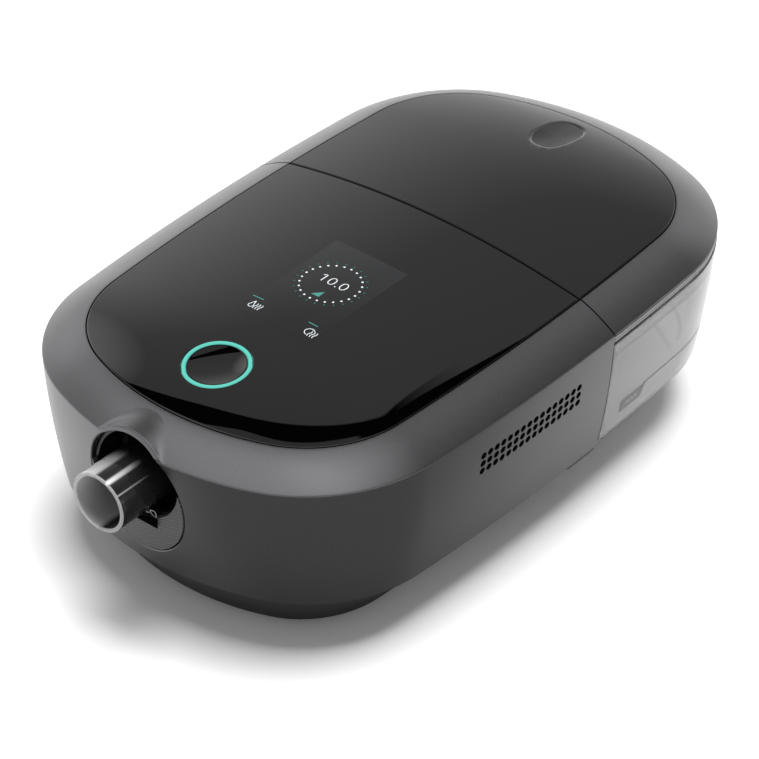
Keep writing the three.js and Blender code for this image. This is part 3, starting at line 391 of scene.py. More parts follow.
# Materials, each kept in paint under its name
paint = {}
surfaces = {
    "bodyPaint": {"colour": (0.150, 0.150, 0.155), "roughness": 0.33, "metallic": 1.0, "scale": 2600.0,
                  "change": 0.25, "roughChange": 0.05, "bump": 0.05},
    "panelGloss": {"colour": (0.0005, 0.0005, 0.0006), "roughness": 0.012, "scale": 30.0, "roughChange": 0.004,
                   "specular": 0.66},
    "matteBlack": {"colour": (0.007, 0.007, 0.008), "roughness": 0.42, "scale": 700.0},
    "darkPlastic": {"colour": (0.024, 0.025, 0.027), "roughness": 0.5, "scale": 1400.0, "bump": 0.12},
    "rubberFinish": {"colour": (0.012, 0.012, 0.013), "roughness": 0.75, "scale": 600.0, "bump": 0.1},
    "siliconeFinish": {"colour": (0.56, 0.58, 0.60), "roughness": 0.5, "scale": 300.0},
    "steelFinish": {"colour": (0.55, 0.56, 0.58), "roughness": 0.3, "metallic": 1.0, "scale": 260.0,
                    "stretch": (1.0, 22.0, 1.0), "change": 0.08},
    "boardFinish": {"colour": (0.012, 0.09, 0.045), "roughness": 0.45, "scale": 220.0, "change": 0.25},
    "foamFinish": {"colour": (0.04, 0.04, 0.042), "roughness": 0.95, "scale": 900.0, "change": 0.5, "bump": 0.8},
    "filterFinish": {"colour": (0.35, 0.36, 0.38), "roughness": 0.95, "scale": 1500.0, "change": 0.3, "bump": 0.7},
    "cardFinish": {"colour": (0.03, 0.045, 0.07), "roughness": 0.5, "scale": 500.0},
    "impellerFinish": {"colour": (0.5, 0.52, 0.54), "roughness": 0.45, "scale": 300.0},
    "cupBlack": {"colour": (0.012, 0.012, 0.013), "roughness": 0.3, "scale": 700.0},
    "markBlack": {"colour": (0.002, 0.002, 0.002), "roughness": 0.8, "scale": 700.0, "specular": 0.0},
    "trimLight": {"colour": (0.3, 0.3, 0.3), "roughness": 0.3, "scale": 300.0, "change": 0.08},
    "inkGrey": {"colour": (0.13, 0.13, 0.135), "roughness": 0.5, "scale": 500.0},
    "inkPale": {"colour": (0.30, 0.30, 0.31), "roughness": 0.5, "scale": 500.0},
    "ribSmoke": {"colour": (0.07, 0.07, 0.072), "roughness": 0.4, "scale": 500.0},
}
surfaces["panelWindow"] = surfaces["panelGloss"]
glasses = {
    "tankClear": {"tint": (0.53, 0.53, 0.54), "roughness": 0.15, "density": 0.06, "clearness": 0.75,
                  "scale": 60.0},
    "spigotSmoke": {"tint": (0.018, 0.018, 0.019), "roughness": 0.05, "density": 0.25, "clearness": 0.35,
                    "scale": 90.0, "streak": (3.0, 0.2, 3.0)},
}
glows = {
    "ringGlow": {"colour": (0.13, 0.70, 0.58), "strength": 0.85, "inLight": 0.1},
    "inkWhite": {"colour": (0.62, 0.66, 0.68), "strength": 0.12, "inLight": 1.0},
    "inkDim": {"colour": (0.03, 0.17, 0.15), "strength": 0.7, "inLight": 0.1},
    "inkTurquoise": {"colour": (0.09, 0.42, 0.36), "strength": 0.7, "inLight": 0.1},
}
plateDots = {
    "colour": (0.022, 0.022, 0.023),
    "light": (0.155, 0.155, 0.16),
    "roughness": 0.5,
    "scale": 1250.0,
    "turn": 0.6,
    "randomness": 0.05,
    "dotEdge": (0.15, 0.6),
    "bump": 0.6,
}
windowFade = {
    "colour": (0.009, 0.0095, 0.0105),
    "from": -0.046,
    "to": -0.004,
}
# Tones up the lid trim's height: the dark bands are painted shade in its seams and the pale bands are painted
# highlights on the edges beside them
trimShadeAndHighlight = {
    "low": 0.067,
    "high": 0.070,
    "tones": [(0.0, 0.01), (0.16, 0.01), (0.24, 0.30), (0.42, 0.24), (0.48, 0.06), (0.72, 0.06), (0.78, 0.26),
              (1.0, 0.20)],
}
bumpDepth = 0.0002


def shader(name):
    material = bpy.data.materials.new(name)
    paint[name] = material
    material.use_nodes = True
    tree = material.node_tree
    tree.nodes.clear()
    output = tree.nodes.new("ShaderNodeOutputMaterial")
    principled = tree.nodes.new("ShaderNodeBsdfPrincipled")
    tree.links.new(principled.outputs[0], output.inputs["Surface"])
    return tree, principled


def objectPlace(tree):
    return tree.nodes.new("ShaderNodeTexCoord").outputs["Object"]


def objectAxes(tree):
    return addNode(tree, "ShaderNodeSeparateXYZ", {"Vector": objectPlace(tree)}).outputs


def noise(tree, scale, stretch=(1.0, 1.0, 1.0)):
    mapped = nodeOut(tree, "ShaderNodeMapping", {"Vector": objectPlace(tree), "Scale": stretch})
    return nodeOut(tree, "ShaderNodeTexNoise", {"Vector": mapped, "Scale": scale, "Detail": 3.0, "Roughness": 0.5})


def blendColours(tree, factor, first, second):
    mix = tree.nodes.new("ShaderNodeMix")
    mix.data_type = "RGBA"
    tree.links.new(factor, mix.inputs[0])
    mix.inputs[6].default_value = (*first, 1.0)
    mix.inputs[7].default_value = (*second, 1.0)
    return mix.outputs[2]


def toned(colour, share):
    return tuple(min(1.0, part * share) for part in colour)


def addBump(tree, principled, height, strength):
    pushed = nodeOut(tree, "ShaderNodeBump", {"Height": height, "Strength": strength, "Distance": bumpDepth})
    tree.links.new(pushed, principled.inputs["Normal"])


def surface(name, colour, roughness, scale, metallic=0.0, change=0.12, roughChange=0.06, bump=0.0,
            stretch=(1.0, 1.0, 1.0), specular=0.5):
    tree, principled = shader(name)
    grain = noise(tree, scale, stretch)
    tone = blendColours(tree, grain, toned(colour, 1 - change), toned(colour, 1 + change))
    tree.links.new(tone, principled.inputs["Base Color"])
    rough = ramp(tree, grain, 0.3, 0.7, max(0.0, roughness - roughChange), roughness + roughChange)
    tree.links.new(rough, principled.inputs["Roughness"])
    principled.inputs["Metallic"].default_value = metallic
    principled.inputs["Specular IOR Level"].default_value = specular
    if bump:
        addBump(tree, principled, noise(tree, scale, stretch), bump)


def glassy(name, tint, roughness, density, clearness, scale, streak=(1.0, 1.0, 1.0)):
    tree, principled = shader(name)
    grain = noise(tree, scale, streak)
    tree.links.new(blendColours(tree, grain, toned(tint, 1 - density), tint), principled.inputs["Base Color"])
    rough = ramp(tree, grain, 0.3, 0.7, roughness * 0.6, roughness * 1.4)
    tree.links.new(rough, principled.inputs["Roughness"])
    principled.inputs["Transmission Weight"].default_value = clearness
    principled.inputs["IOR"].default_value = 1.5


def glowing(name, colour, strength, inLight):
    tree, principled = shader(name)
    grain, dim = noise(tree, 400.0), toned(colour, 0.9)
    matte = blendColours(tree, grain, toned(dim, inLight), toned(colour, inLight))
    tree.links.new(matte, principled.inputs["Base Color"])
    tree.links.new(blendColours(tree, grain, dim, colour), principled.inputs["Emission Color"])
    principled.inputs["Emission Strength"].default_value = strength
    principled.inputs["Roughness"].default_value = 0.35


def dotted(name, part):
    tree, principled = shader(name)
    flat = nodeOut(tree, "ShaderNodeMapping", {
        "Vector": objectPlace(tree), "Scale": (1.0, 0.0, 1.0), "Rotation": (0.0, part["turn"], 0.0)})
    cells = nodeOut(tree, "ShaderNodeTexVoronoi", {
        "Vector": flat, "Scale": part["scale"], "Randomness": part["randomness"]})
    dots = ramp(tree, cells, *part["dotEdge"], 1.0, 0.0)
    tree.links.new(blendColours(tree, dots, part["colour"], part["light"]), principled.inputs["Base Color"])
    principled.inputs["Roughness"].default_value = part["roughness"]
    addBump(tree, principled, dots, part["bump"])


def recolour(name, colour):
    tree = paint[name].node_tree
    tree.links.new(colour, tree.nodes["Principled BSDF"].inputs["Base Color"])


def fadeWindow(name, part):
    tree = paint[name].node_tree
    share = ramp(tree, objectAxes(tree)["Y"], part["from"], part["to"])
    recolour(name, blendColours(tree, share, surfaces[name]["colour"], part["colour"]))


def addBands(name, part):
    tree = paint[name].node_tree
    bands = tree.nodes.new("ShaderNodeValToRGB")
    tree.links.new(ramp(tree, objectAxes(tree)["Z"], part["low"], part["high"]), bands.inputs[0])
    stops = bands.color_ramp.elements
    while len(stops) < len(part["tones"]):
        stops.new(0.5)
    for stop, (at, tone) in zip(stops, part["tones"]):
        stop.position, stop.color = at, (tone, tone, tone, 1.0)
    recolour(name, bands.outputs[0])


for make, table in ((surface, surfaces), (glassy, glasses), (glowing, glows)):
    for name, values in table.items():
        make(name, **values)
dotted("plateFinish", plateDots)
fadeWindow("panelWindow", windowFade)
# Paints the seam shade and edge highlights onto the lid trim
addBands("trimLight", trimShadeAndHighlight)
print("materials ready")


# A wall and its sloping shoulder, swept round the plan
def makeWallTree():
    tree, given, leave = newTree("wallSweep", [
        ("Wall foot", "Float", 0.0223), ("Wall height", "Float", 0.0486), ("Foot inset", "Float", 0.0058),
        ("Lean share", "Float", 0.365), ("Shoulder inset", "Float", 0.0148), ("Shoulder rise", "Float", 0.008),
        ("Shoulder bulge", "Float", 0.00075), ("Wall steps", "Int", 24), ("Shoulder steps", "Int", 24),
    ])
    total = plus(tree, plus(tree, given["Wall steps"], given["Shoulder steps"]), 1.0)
    line = nodeOut(tree, "GeometryNodeMeshLine", {"Count": total, "Offset": (0.0, 0.0, 0.001)})
    index = nodeOut(tree, "GeometryNodeInputIndex")
    up = calc(tree, "DIVIDE", index, given["Wall steps"], clamp=True)
    past = minus(tree, index, given["Wall steps"])
    over = calc(tree, "DIVIDE", past, given["Shoulder steps"], clamp=True)
    drop = minus(tree, 1.0, up)
    straight = times(tree, given["Lean share"], drop)
    curved = times(tree, minus(tree, 1.0, given["Lean share"]), calc(tree, "POWER", drop, 2.0))
    lean = times(tree, given["Foot inset"], plus(tree, straight, curved))
    inset = plus(tree, lean, times(tree, given["Shoulder inset"], over))
    wall = plus(tree, given["Wall foot"], times(tree, given["Wall height"], up))
    bow = times(tree, times(tree, over, minus(tree, 1.0, over)), 4.0)
    shoulder = plus(tree, times(tree, given["Shoulder rise"], over), times(tree, given["Shoulder bulge"], bow))
    height = plus(tree, wall, shoulder)
    spot = nodeOut(tree, "ShaderNodeCombineXYZ", {"X": times(tree, inset, -1.0), "Y": times(tree, height, -1.0)})
    placed = nodeOut(tree, "GeometryNodeSetPosition", {"Geometry": line, "Position": spot})
    profile = nodeOut(tree, "GeometryNodeMeshToCurve", {"Mesh": placed})
    rail = nodeOut(tree, "GeometryNodeMeshToCurve", {"Mesh": given["Geometry"]})
    upright = nodeOut(tree, "GeometryNodeSetCurveNormal", {"Curve": rail}, mode="Z_UP")
    swept = nodeOut(tree, "GeometryNodeCurveToMesh", {"Curve": upright, "Profile Curve": profile})
    return endTree(tree, given, leave, swept)


def sweptRings(name, finish, values):
    points = outline(0)
    count = len(points)
    spots = np.column_stack([points * 0.001, np.zeros(count)])
    rail = rawPiece(name, spots, edges=[(s, (s + 1) % count) for s in range(count)])
    runTree(rail, makeWallTree(), finish, values)
    swept = meshPoints(rail.data)
    bpy.data.objects.remove(rail)
    steps = values["Wall steps"] + values["Shoulder steps"] + 1
    return swept.reshape(count, steps, 3).transpose(1, 0, 2) * 1000


def roundCorner(rings, at, reach, steps):
    before, corner, after = rings[at - 1], rings[at], rings[at + 1]

    def towards(end):
        away = np.linalg.norm(end - corner, axis=1)[:, None]
        return corner + (end - corner) * np.minimum(1, reach / away)

    first, last = towards(before), towards(after)
    bent = [(1 - t) ** 2 * first + 2 * t * (1 - t) * corner + t * t * last for t in np.linspace(0, 1, steps)]
    return np.concatenate([rings[:at], np.array(bent), rings[at + 1:]])


# The shell of the body, front and rear
shellShape = {
    "wallSteps": 26,
    "shoulderSteps": 16,
    "underSteps": 16,
    "edgeRadius": 0.45,
    "edgeSteps": 7,
    "lipRadius": 0.2,
    "lipSteps": 4,
    "ledgeWidth": 3.5,
    "ledgeThickness": 2.2,
    "underInset": 11.5,
    "underDrop": 5.85,
    "cornerUnderInset": 3.4,
    "cornerUnderDrop": 2.3,
    "bulkheadThickness": 2.6,
    "doorGap": 0.5,
}
shellRings = sweptRings("shellSweep", "bodyPaint", {
    "Wall foot": body["wallFoot"] / 1000,
    "Wall height": (body["edgeHeight"] - body["wallFoot"]) / 1000,
    "Foot inset": body["footInset"] / 1000,
    "Lean share": body["leanShare"],
    "Shoulder inset": body["shoulderInset"] / 1000,
    "Shoulder rise": (body["shoulderHeight"] - body["edgeHeight"]) / 1000,
    "Shoulder bulge": body["shoulderBulge"] / 1000,
    "Wall steps": shellShape["wallSteps"],
    "Shoulder steps": shellShape["shoulderSteps"],
})
roundedShell = roundCorner(shellRings, shellShape["wallSteps"], shellShape["edgeRadius"], shellShape["edgeSteps"])
ledgeInset = body["shoulderInset"] + shellShape["ledgeWidth"]
shoulderRings = [
    ring(body["shoulderInset"], ledgeHeight),
    ring(ledgeInset, ledgeHeight),
    ring(ledgeInset, ledgeHeight - shellShape["ledgeThickness"]),
    ring(shellShape["underInset"], body["shoulderHeight"] - shellShape["underDrop"]),
]


def roundedTop(rings):
    lip = np.concatenate([rings, [shoulderRings[0]]])
    return roundCorner(lip, len(rings) - 1, shellShape["lipRadius"], shellShape["lipSteps"])


def shellSolid(name):
    high = body["edgeHeight"] - shellShape["cornerUnderDrop"]
    under = [ring(shellShape["cornerUnderInset"], high)]
    for height in np.linspace(high, body["wallFoot"], shellShape["underSteps"])[1:]:
        under.append(ring(wallInset(height) + body["wallThickness"], height))
    return ringSolid(name, np.concatenate([roundedTop(roundedShell), shoulderRings[1:], under]), closed=True)


outlet = {
    "x": -2.9,
    "z": 51.4,
    "halfWidth": 20.5,
    "halfHeight": 23.0,
    "segments": 160,
    "hoodWall": 1.9,
    "hoodSpread": 1.2,
    "hoodRise": 1.0,
    "hoodFrontY": -123.4,
    "hoodRearY": -115.0,
    "hoodReach": 29.0,
    "hoodColumns": 150,
    "hoodRows": 60,
    "hoodCrowding": 1.25,
    "hoodTail": 3.0,
    "hoodSetback": 0.2,
    "hoodFadeStart": 0.6,
    "hoodFadeWidth": 2.4,
    "hoodSink": 0.03,
    "hoodSinkWidth": 0.1,
    "hoodSkin": 2.2,
    "frontLean": 2.35,
    "fillet": 1.2,
    "frontEdge": 1.0,
    "lipEdge": 1.0,
    "lipShares": (-6, 0, 0.03, 0.12, 0.28, 0.5, 0.75, 1.0),
    "cupFrontY": -120.6,
    "cupRearY": -103.0,
    "cupSeatY": -118.4,
    "cupFloor": 2.5,
    "plateBackY": -118.8,
    "pocketX": -4.0,
    "pocketZ": 63.0,
    "pocketRadius": 20.3,
    "pocketRim": 1.4,
    "stepOuter": 17.6,
    "stepInner": 15.9,
    "stepHeight": 3.6,
    "stepEdge": 0.5,
    "collarOuter": 14.7,
    "collarHeight": 5.0,
    "collarEdge": 0.4,
    "collarLap": 0.2,
    "stepRoot": 0.6,
    "spigotX": -5.2,
    "spigotZ": 54.8,
    "spigotRadius": 11.0,
    "spigotWall": 1.5,
    "spigotFrontY": -138.4,
    "spigotRearY": -100.5,
    "spigotEdge": 0.6,
    "sealWidth": 1.9,
    "sealLength": 3.0,
}


def softMin(first, second, reach):
    blend = np.clip(0.5 + 0.5 * (second - first) / reach, 0, 1)
    return second * (1 - blend) + first * blend - reach * blend * (1 - blend)


def softMax(first, second, reach):
    return -softMin(-first, -second, reach)


def hoodSolid(name):
    part, rows = outlet, outlet["hoodRows"]
    xs = np.linspace(part["x"] - part["hoodReach"], part["x"] + part["hoodReach"], part["hoodColumns"])
    depth = np.linspace(0, 1, rows) ** part["hoodCrowding"]
    frontY = -(endCentreY + np.sqrt((body["endRadius"] - part["hoodSetback"]) ** 2 - xs * xs))[:, None]
    x = np.repeat(xs[:, None], rows, axis=1)
    y = frontY + (part["hoodRearY"] + part["hoodTail"] - frontY) * depth
    back = np.clip((y - part["hoodFrontY"]) / (part["hoodRearY"] - part["hoodFrontY"]), 0, 1)
    width = part["halfWidth"] + part["hoodWall"] + part["hoodSpread"] * back
    rise = part["halfHeight"] + part["hoodWall"] + part["hoodRise"] * back
    across = np.clip(1 - ((x - part["x"]) / width) ** 2, 0, 1)
    arch = part["z"] + rise * np.sqrt(across)
    front = body["edgeHeight"] + insetAt(x, y) * part["frontLean"]
    base = shoulderAt(x, y)
    inside = body["shoulderInset"] - part["hoodFadeStart"] - insetAt(x, y)
    fade = np.clip(inside / part["hoodFadeWidth"], 0, 1)
    top = softMax(base, softMin(arch, front, part["frontEdge"]), part["fillet"])
    top = base + (top - base) * fade * fade * (3 - 2 * fade)
    top = top - part["hoodSink"] * np.clip(1 - (top - base) / part["hoodSinkWidth"], 0, 1)
    sheets = [np.column_stack([x.ravel(), y.ravel(), z.ravel()]) for z in (top, base - part["hoodSkin"])]
    half, columns, faces = len(sheets[0]), len(xs), []
    for a in range(columns - 1):
        for b in range(rows - 1):
            at = a * rows + b
            quad = (at, at + rows, at + rows + 1, at + 1)
            faces += [quad, tuple(half + corner for corner in reversed(quad))]
    border = [a * rows for a in range(columns)] + [(columns - 1) * rows + b for b in range(1, rows)]
    border += [a * rows + rows - 1 for a in range(columns - 2, -1, -1)] + list(range(rows - 2, 0, -1))
    faces += [(border[k], border[k - 1], half + border[k - 1], half + border[k]) for k in range(len(border))]
    return newPiece(name, np.vstack(sheets), faces)


def outletOval(grow=0.0):
    turns = fullTurn(outlet["segments"])
    x = outlet["x"] + (outlet["halfWidth"] + grow) * np.cos(turns)
    return x, outlet["z"] + (outlet["halfHeight"] + grow) * np.sin(turns)


def outletCutter(name):
    edge = outlet["lipEdge"]
    x, z = outletOval()
    lean = (z - body["edgeHeight"]) / outlet["frontLean"]
    inset = np.where(z < body["edgeHeight"], wallInset(np.minimum(z, body["edgeHeight"])), lean)
    mouth = -(endCentreY + np.sqrt((body["endRadius"] - inset) ** 2 - x * x))
    rings = []
    for share in outlet["lipShares"]:
        wideX, wideZ = outletOval(edge * (1 - share) if share <= 0 else edgeGrowth(share * edge, edge))
        rings.append(np.column_stack([wideX, mouth + share * edge, wideZ]))
    rings.append(np.column_stack([x, np.full(len(x), outlet["cupRearY"]), z]))
    return ringSolid(name, rings)


def outletRod(name, grow, startY, endY):
    x, z = outletOval(grow)
    return ringSolid(name, [np.column_stack([x, np.full(len(x), y), z]) for y in (startY, endY)])


# Openings of the side walls and the bulkhead; a door is front, rear, bottom, top
sideParts = {
    "filterDoor": (-64.0, -22.0, 31.0, 63.0),
    "cardDoor": (-11.0, 17.0, 46.0, 60.0),
    "inlet": (5.0, 33.0),
    "inletRadius": 6.2,
    "inletReach": (76.4, 62.4),
    "inletBore": 4.2,
    "inletFloor": 67.4,
    "inletHoleEnd": 40.0,
    "pinRadius": 1.1,
    "pinReach": (74.9, 62.6),
    "grilleRows": 3,
    "grilleColumns": 16,
    "grilleY": -44.2,
    "grilleZ": 53.1,
    "grillePitchY": 3.28,
    "grillePitchZ": 3.25,
    "grilleRadius": 1.3,
    "grilleDepth": 40.0,
    "ports": {"In": (22.0, 56.3, 8.4, 5.6), "Out": (-22.0, 55.6, 7.6, 5.4)},  # X, Z, radius, bore
    "portSealLength": 2.4,
}
hinge = {
    "height": 85.3,
    "x": 20.0,
    "armWidth": 6.0,
    "armInner": 13.0,
    "armOuter": 17.0,
    "slotMargin": 0.5,
    "slotDepth": 3.1,
}


def doorBox(sides, gap):
    frontY, rearY, bottom, top = sides
    return boxSolid("door", (-far, frontY - gap, bottom - gap), (-body["halfWidth"] / 2, rearY + gap, top + gap))


# A block of rods for the grille holes
def makeRodTree():
    tree, given, leave = newTree("rodGrid", [
        ("Rows", "Int", 3), ("Columns", "Int", 16), ("Row pitch", "Float", 0.003),
        ("Column pitch", "Float", 0.003), ("Radius", "Float", 0.001), ("Length", "Float", 0.02),
        ("Corner", "Vector", (0.0, 0.0, 0.0)),
    ])
    spanY = times(tree, minus(tree, given["Columns"], 1.0), given["Column pitch"])
    spanZ = times(tree, minus(tree, given["Rows"], 1.0), given["Row pitch"])
    grid = nodeOut(tree, "GeometryNodeMeshGrid", {
        "Size X": spanZ, "Size Y": spanY, "Vertices X": given["Rows"], "Vertices Y": given["Columns"]})
    quarter = (0.0, math.radians(90), 0.0)
    upright = nodeOut(tree, "GeometryNodeTransform", {"Geometry": grid, "Rotation": quarter})
    middle = nodeOut(tree, "ShaderNodeCombineXYZ", {"Y": times(tree, spanY, 0.5), "Z": times(tree, spanZ, 0.5)})
    centre = nodeOut(tree, "ShaderNodeVectorMath", {0: middle, 1: given["Corner"]}, operation="ADD")
    placed = nodeOut(tree, "GeometryNodeTransform", {"Geometry": upright, "Translation": centre})
    rod = nodeOut(tree, "GeometryNodeMeshCylinder", {
        "Vertices": 32, "Radius": given["Radius"], "Depth": given["Length"]})
    lying = nodeOut(tree, "GeometryNodeTransform", {"Geometry": rod, "Rotation": quarter})
    return endTree(tree, given, leave, copiesOn(tree, placed, lying))


def grilleCutter(name):
    part = sideParts
    corner = toMetres([[body["halfWidth"], part["grilleY"], part["grilleZ"]]])[0]
    return runTree(rawPiece(name), makeRodTree(), "matteBlack", {
        "Rows": part["grilleRows"], "Columns": part["grilleColumns"], "Row pitch": part["grillePitchZ"] / 1000,
        "Column pitch": part["grillePitchY"] / 1000, "Radius": part["grilleRadius"] / 1000,
        "Length": part["grilleDepth"] / 1000, "Corner": tuple(corner)})


def buildHousing():
    housing = keep(shellSolid("housing"), halfBox(True))
    bulkhead = slab(frontEndY - shellShape["bulkheadThickness"], frontEndY, 0, ledgeHeight - body["fitGap"])
    fuse(housing, keep(ringSolid("bulkhead", roundedShell), bulkhead), hoodSolid("hood"))
    carve(housing, outletCutter("mouth"))
    margin, reach = hinge["slotMargin"], hinge["armWidth"] / 2 + hinge["slotMargin"]
    for x in (-hinge["x"], hinge["x"]):
        low = (x - reach, frontEndY - hinge["slotDepth"], hinge["height"] - hinge["armOuter"] - margin)
        high = (x + reach, frontEndY + margin, hinge["height"] - hinge["armInner"] + margin * 2)
        carve(housing, boxSolid("slot", low, high))
    for x, z, radius, bore in sideParts["ports"].values():
        carve(housing, rodHole("y", (x, z), radius, 0))
    for door in ("filterDoor", "cardDoor"):
        carve(housing, doorBox(sideParts[door], shellShape["doorGap"]))
    radius, end = sideParts["inletRadius"] + body["fitGap"], -sideParts["inletHoleEnd"]
    carve(housing, rodHole("x", sideParts["inlet"], radius, -far, end))
    carve(housing, grilleCutter("grille"))
    return dress(housing, "bodyPaint", "machine", ["main_housing"], 24)


housing = buildHousing()
print("housing ready:", len(housing.data.polygons), "faces")


# Underside pan, tray, feet and screws
baseShape = {
    "planStep": 0.8,
    "topDrop": 0.4,
    "bottomHeight": 3.6,
    "bottomInset": 19.6,
    "wall": 2.2,
    "frontEnd": 12.2,
    "trayInset": 24.0,
    "trayTop": 20.8,
    "trayOverlap": 4.0,
    "shelf": 1.5,
    "sideInset": 5.5,
    "profileShares": [(0, 0), (0.3, 0.28), (0.6, 0.57), (0.86, 0.86), (1, 1)],
    "postX": 39.0,
    "postYs": (-79.0, -7.0),
    "postRadius": 2.6,
    "postTop": 7.7,
    "postRoot": 1.1,
    "footRadius": 7.0,
    "footHeight": 3.3,
    "footEdge": 0.8,
    "feet": ((38.0, -78.0), (38.0, 80.0)),
    "screwRadius": 3.2,
    "screwHeight": 1.4,
    "slotDepth": 0.7,
    "slotReach": 2.0,
    "slotHalf": 0.35,
    "screws": ((24.0, -96.0), (24.0, 62.0)),
}
heater = {
    "y": 66.0,
    "radius": 36.0,
    "top": 21.8,
    "thickness": 2.4,
    "gap": 0.8,
}


def cutCorners(points, rounds):
    points = np.array(points, dtype=float)
    for _ in range(rounds):
        near = points[:-1] * 0.75 + points[1:] * 0.25
        away = points[:-1] * 0.25 + points[1:] * 0.75
        points = np.vstack([points[:1], np.stack([near, away], 1).reshape(-1, 2)[1:-1], points[-1:]])
    return points


def buildBase():
    base, wall = baseShape, baseShape["wall"]
    top, bottom = body["wallFoot"] - base["topDrop"], base["bottomHeight"]
    inset, floor = body["footInset"] + base["planStep"], base["bottomHeight"] + base["wall"]
    shares = cutCorners(base["profileShares"], 3)

    def bowl(name, extra, low):
        rings = []
        for a, b in shares:
            made = ring(inset + (base["bottomInset"] - inset) * a + extra, top - (top - low) * b)
            side = made[:, 0] / body["halfWidth"]
            made[:, 0] -= base["sideInset"] * a * side * np.abs(side)
            rings.append(made)
        return ringSolid(name, rings)

    def block(name, extra, low, high, startY, endY=far):
        return keep(stack(name, [(extra, low), (extra, high)]), slab(startY, endY))

    pan = keep(bowl("basePan", 0, bottom), slab(endY=base["frontEnd"]))
    split = base["frontEnd"] - base["trayOverlap"]
    fuse(pan, block("tray", base["trayInset"], bottom, base["trayTop"], split),
         block("shelf", inset, top - base["shelf"], top, split, frontEndY))
    carve(pan, keep(bowl("hollow", wall, floor), slab(endY=split)),
          block("mouth", inset + wall, top - 0.5, far, -far, split),
          block("under", base["trayInset"] + wall, floor, base["trayTop"] - wall, split - wall))
    carve(pan, rodHole("z", (0, heater["y"]), heater["radius"] + heater["gap"], floor))
    for x in (-base["postX"], base["postX"]):
        for y in base["postYs"]:
            low = floor - base["postRoot"]
            fuse(pan, roundedRod("post", "z", (x, y), base["postRadius"], low, base["postTop"], 0.2, 32))
    dress(pan, "darkPlastic", "machine", ["base_pan"], 24)


# One copy of the piece at each of four places
def makeSpotTree():
    tree, given, leave = newTree("fourSpots", [
        ("Front X", "Float", 0.04), ("Front Y", "Float", -0.08),
        ("Rear X", "Float", 0.04), ("Rear Y", "Float", 0.08),
    ])
    line = nodeOut(tree, "GeometryNodeMeshLine", {"Count": 4})
    index = nodeOut(tree, "GeometryNodeInputIndex")
    back = calc(tree, "GREATER_THAN", index, 1.5)
    side = minus(tree, times(tree, calc(tree, "MODULO", index, 2.0), 2.0), 1.0)
    ahead = minus(tree, 1.0, back)
    reach = {}
    for axis in "XY":
        front, rear = times(tree, given["Front " + axis], ahead), times(tree, given["Rear " + axis], back)
        reach[axis] = plus(tree, front, rear)
    spot = nodeOut(tree, "ShaderNodeCombineXYZ", {"X": times(tree, reach["X"], side), "Y": reach["Y"]})
    placed = nodeOut(tree, "GeometryNodeSetPosition", {"Geometry": line, "Position": spot})
    return endTree(tree, given, leave, copiesOn(tree, placed, given["Geometry"]))


spotTree = makeSpotTree()
planMiddle = (0, -body["frameShift"])  # a piece here lies on the frame's origin


def atFour(piece, finish, places):
    (frontX, frontY), (rearX, rearY) = toMetres([(x, y, 0) for x, y in places])[:, :2].tolist()
    return runTree(piece, spotTree, finish, {
        "Front X": frontX, "Front Y": frontY, "Rear X": rearX, "Rear Y": rearY})


def buildFeet():
    base = baseShape
    foot = roundedRod("feet", "z", planMiddle, base["footRadius"], 0, base["footHeight"], base["footEdge"], 72)
    atFour(foot, "rubberFinish", base["feet"])
    dress(foot, "rubberFinish", "machine", ["foot_1", "foot_2", "foot_3", "foot_4"])
    low, middle = base["footHeight"] - base["screwHeight"], planMiddle[1]
    screw = roundedRod("screws", "z", planMiddle, base["screwRadius"], low, base["footHeight"], 0.3, 48)
    for wide, deep in ((base["slotReach"], base["slotHalf"]), (base["slotHalf"], base["slotReach"])):
        high = low + base["slotDepth"]
        carve(screw, boxSolid("slot", (-wide, middle - deep, low - 1), (wide, middle + deep, high)))
    atFour(screw, "steelFinish", base["screws"])
    screwNodes = ["base_screw_1", "base_screw_2", "base_screw_3", "base_screw_4"]
    dress(screw, "steelFinish", "machine", screwNodes)


buildBase()
buildFeet()
print("underside ready")


# Crowned top covers
coverShape = {
    "thickness": 2.4,
    "flange": 2.2,
    "edge": 0.2,
    "edgeSteps": 6,
    "seam": 0.12,
    "hollowShare": 0.93,
    "shareSteps": 48,
    "shareCrowding": 1.4,
    "shareReach": 0.985,
    "splitEdge": 0.35,
}


def crownRings(firstShare, sink, inset):
    steps = np.linspace(0, 1, coverShape["shareSteps"]) ** coverShape["shareCrowding"]
    points = outline(inset)
    shares = firstShare * (1 - steps * coverShape["shareReach"])
    return [np.column_stack([points * s, crownHeight(*(points * s).T) - sink]) for s in shares]


def capSolid(name):
    inset, edge = body["shoulderInset"] + body["fitGap"] + coverShape["seam"], coverShape["edge"]
    rings = [ring(inset, coverSeat)]
    for turn in np.linspace(0, math.pi / 2, coverShape["edgeSteps"]):
        points = outline(inset + edge * (1 - math.cos(turn)))
        rings.append(np.column_stack([points, crownHeight(*points.T) - edge * (1 - math.sin(turn))]))
    return ringSolid(name, np.concatenate([rings, crownRings(1.0, 0, inset + edge)[1:]]))


def hollowSolid(front):
    inset = body["shoulderInset"] + body["fitGap"]
    rings = crownRings(coverShape["hollowShare"], coverShape["thickness"], inset)
    low = rings[0].copy()
    low[:, 2] = coverSeat - 0.5
    return keep(ringSolid("hollow", np.concatenate([[low], rings])), halfBox(front, coverShape["flange"]))


# A round hole through the crown with a rounded rim
def crownCutter(name, centreY, radius, edge):
    turns, rings = fullTurn(160), []
    for depth in [edge * part for part in (1, 0.75, 0.5, 0.3, 0.14, 0.04, 0)] + [-3.0]:
        reach = radius + (edge - depth if depth < 0 else edgeGrowth(depth, edge))
        x, y = reach * np.cos(turns), centreY + reach * np.sin(turns)
        rings.append(np.column_stack([x, y, crownHeight(x, y) - depth]))
    return ringSolid(name, [rings[0] * [1, 1, 0]] + rings)


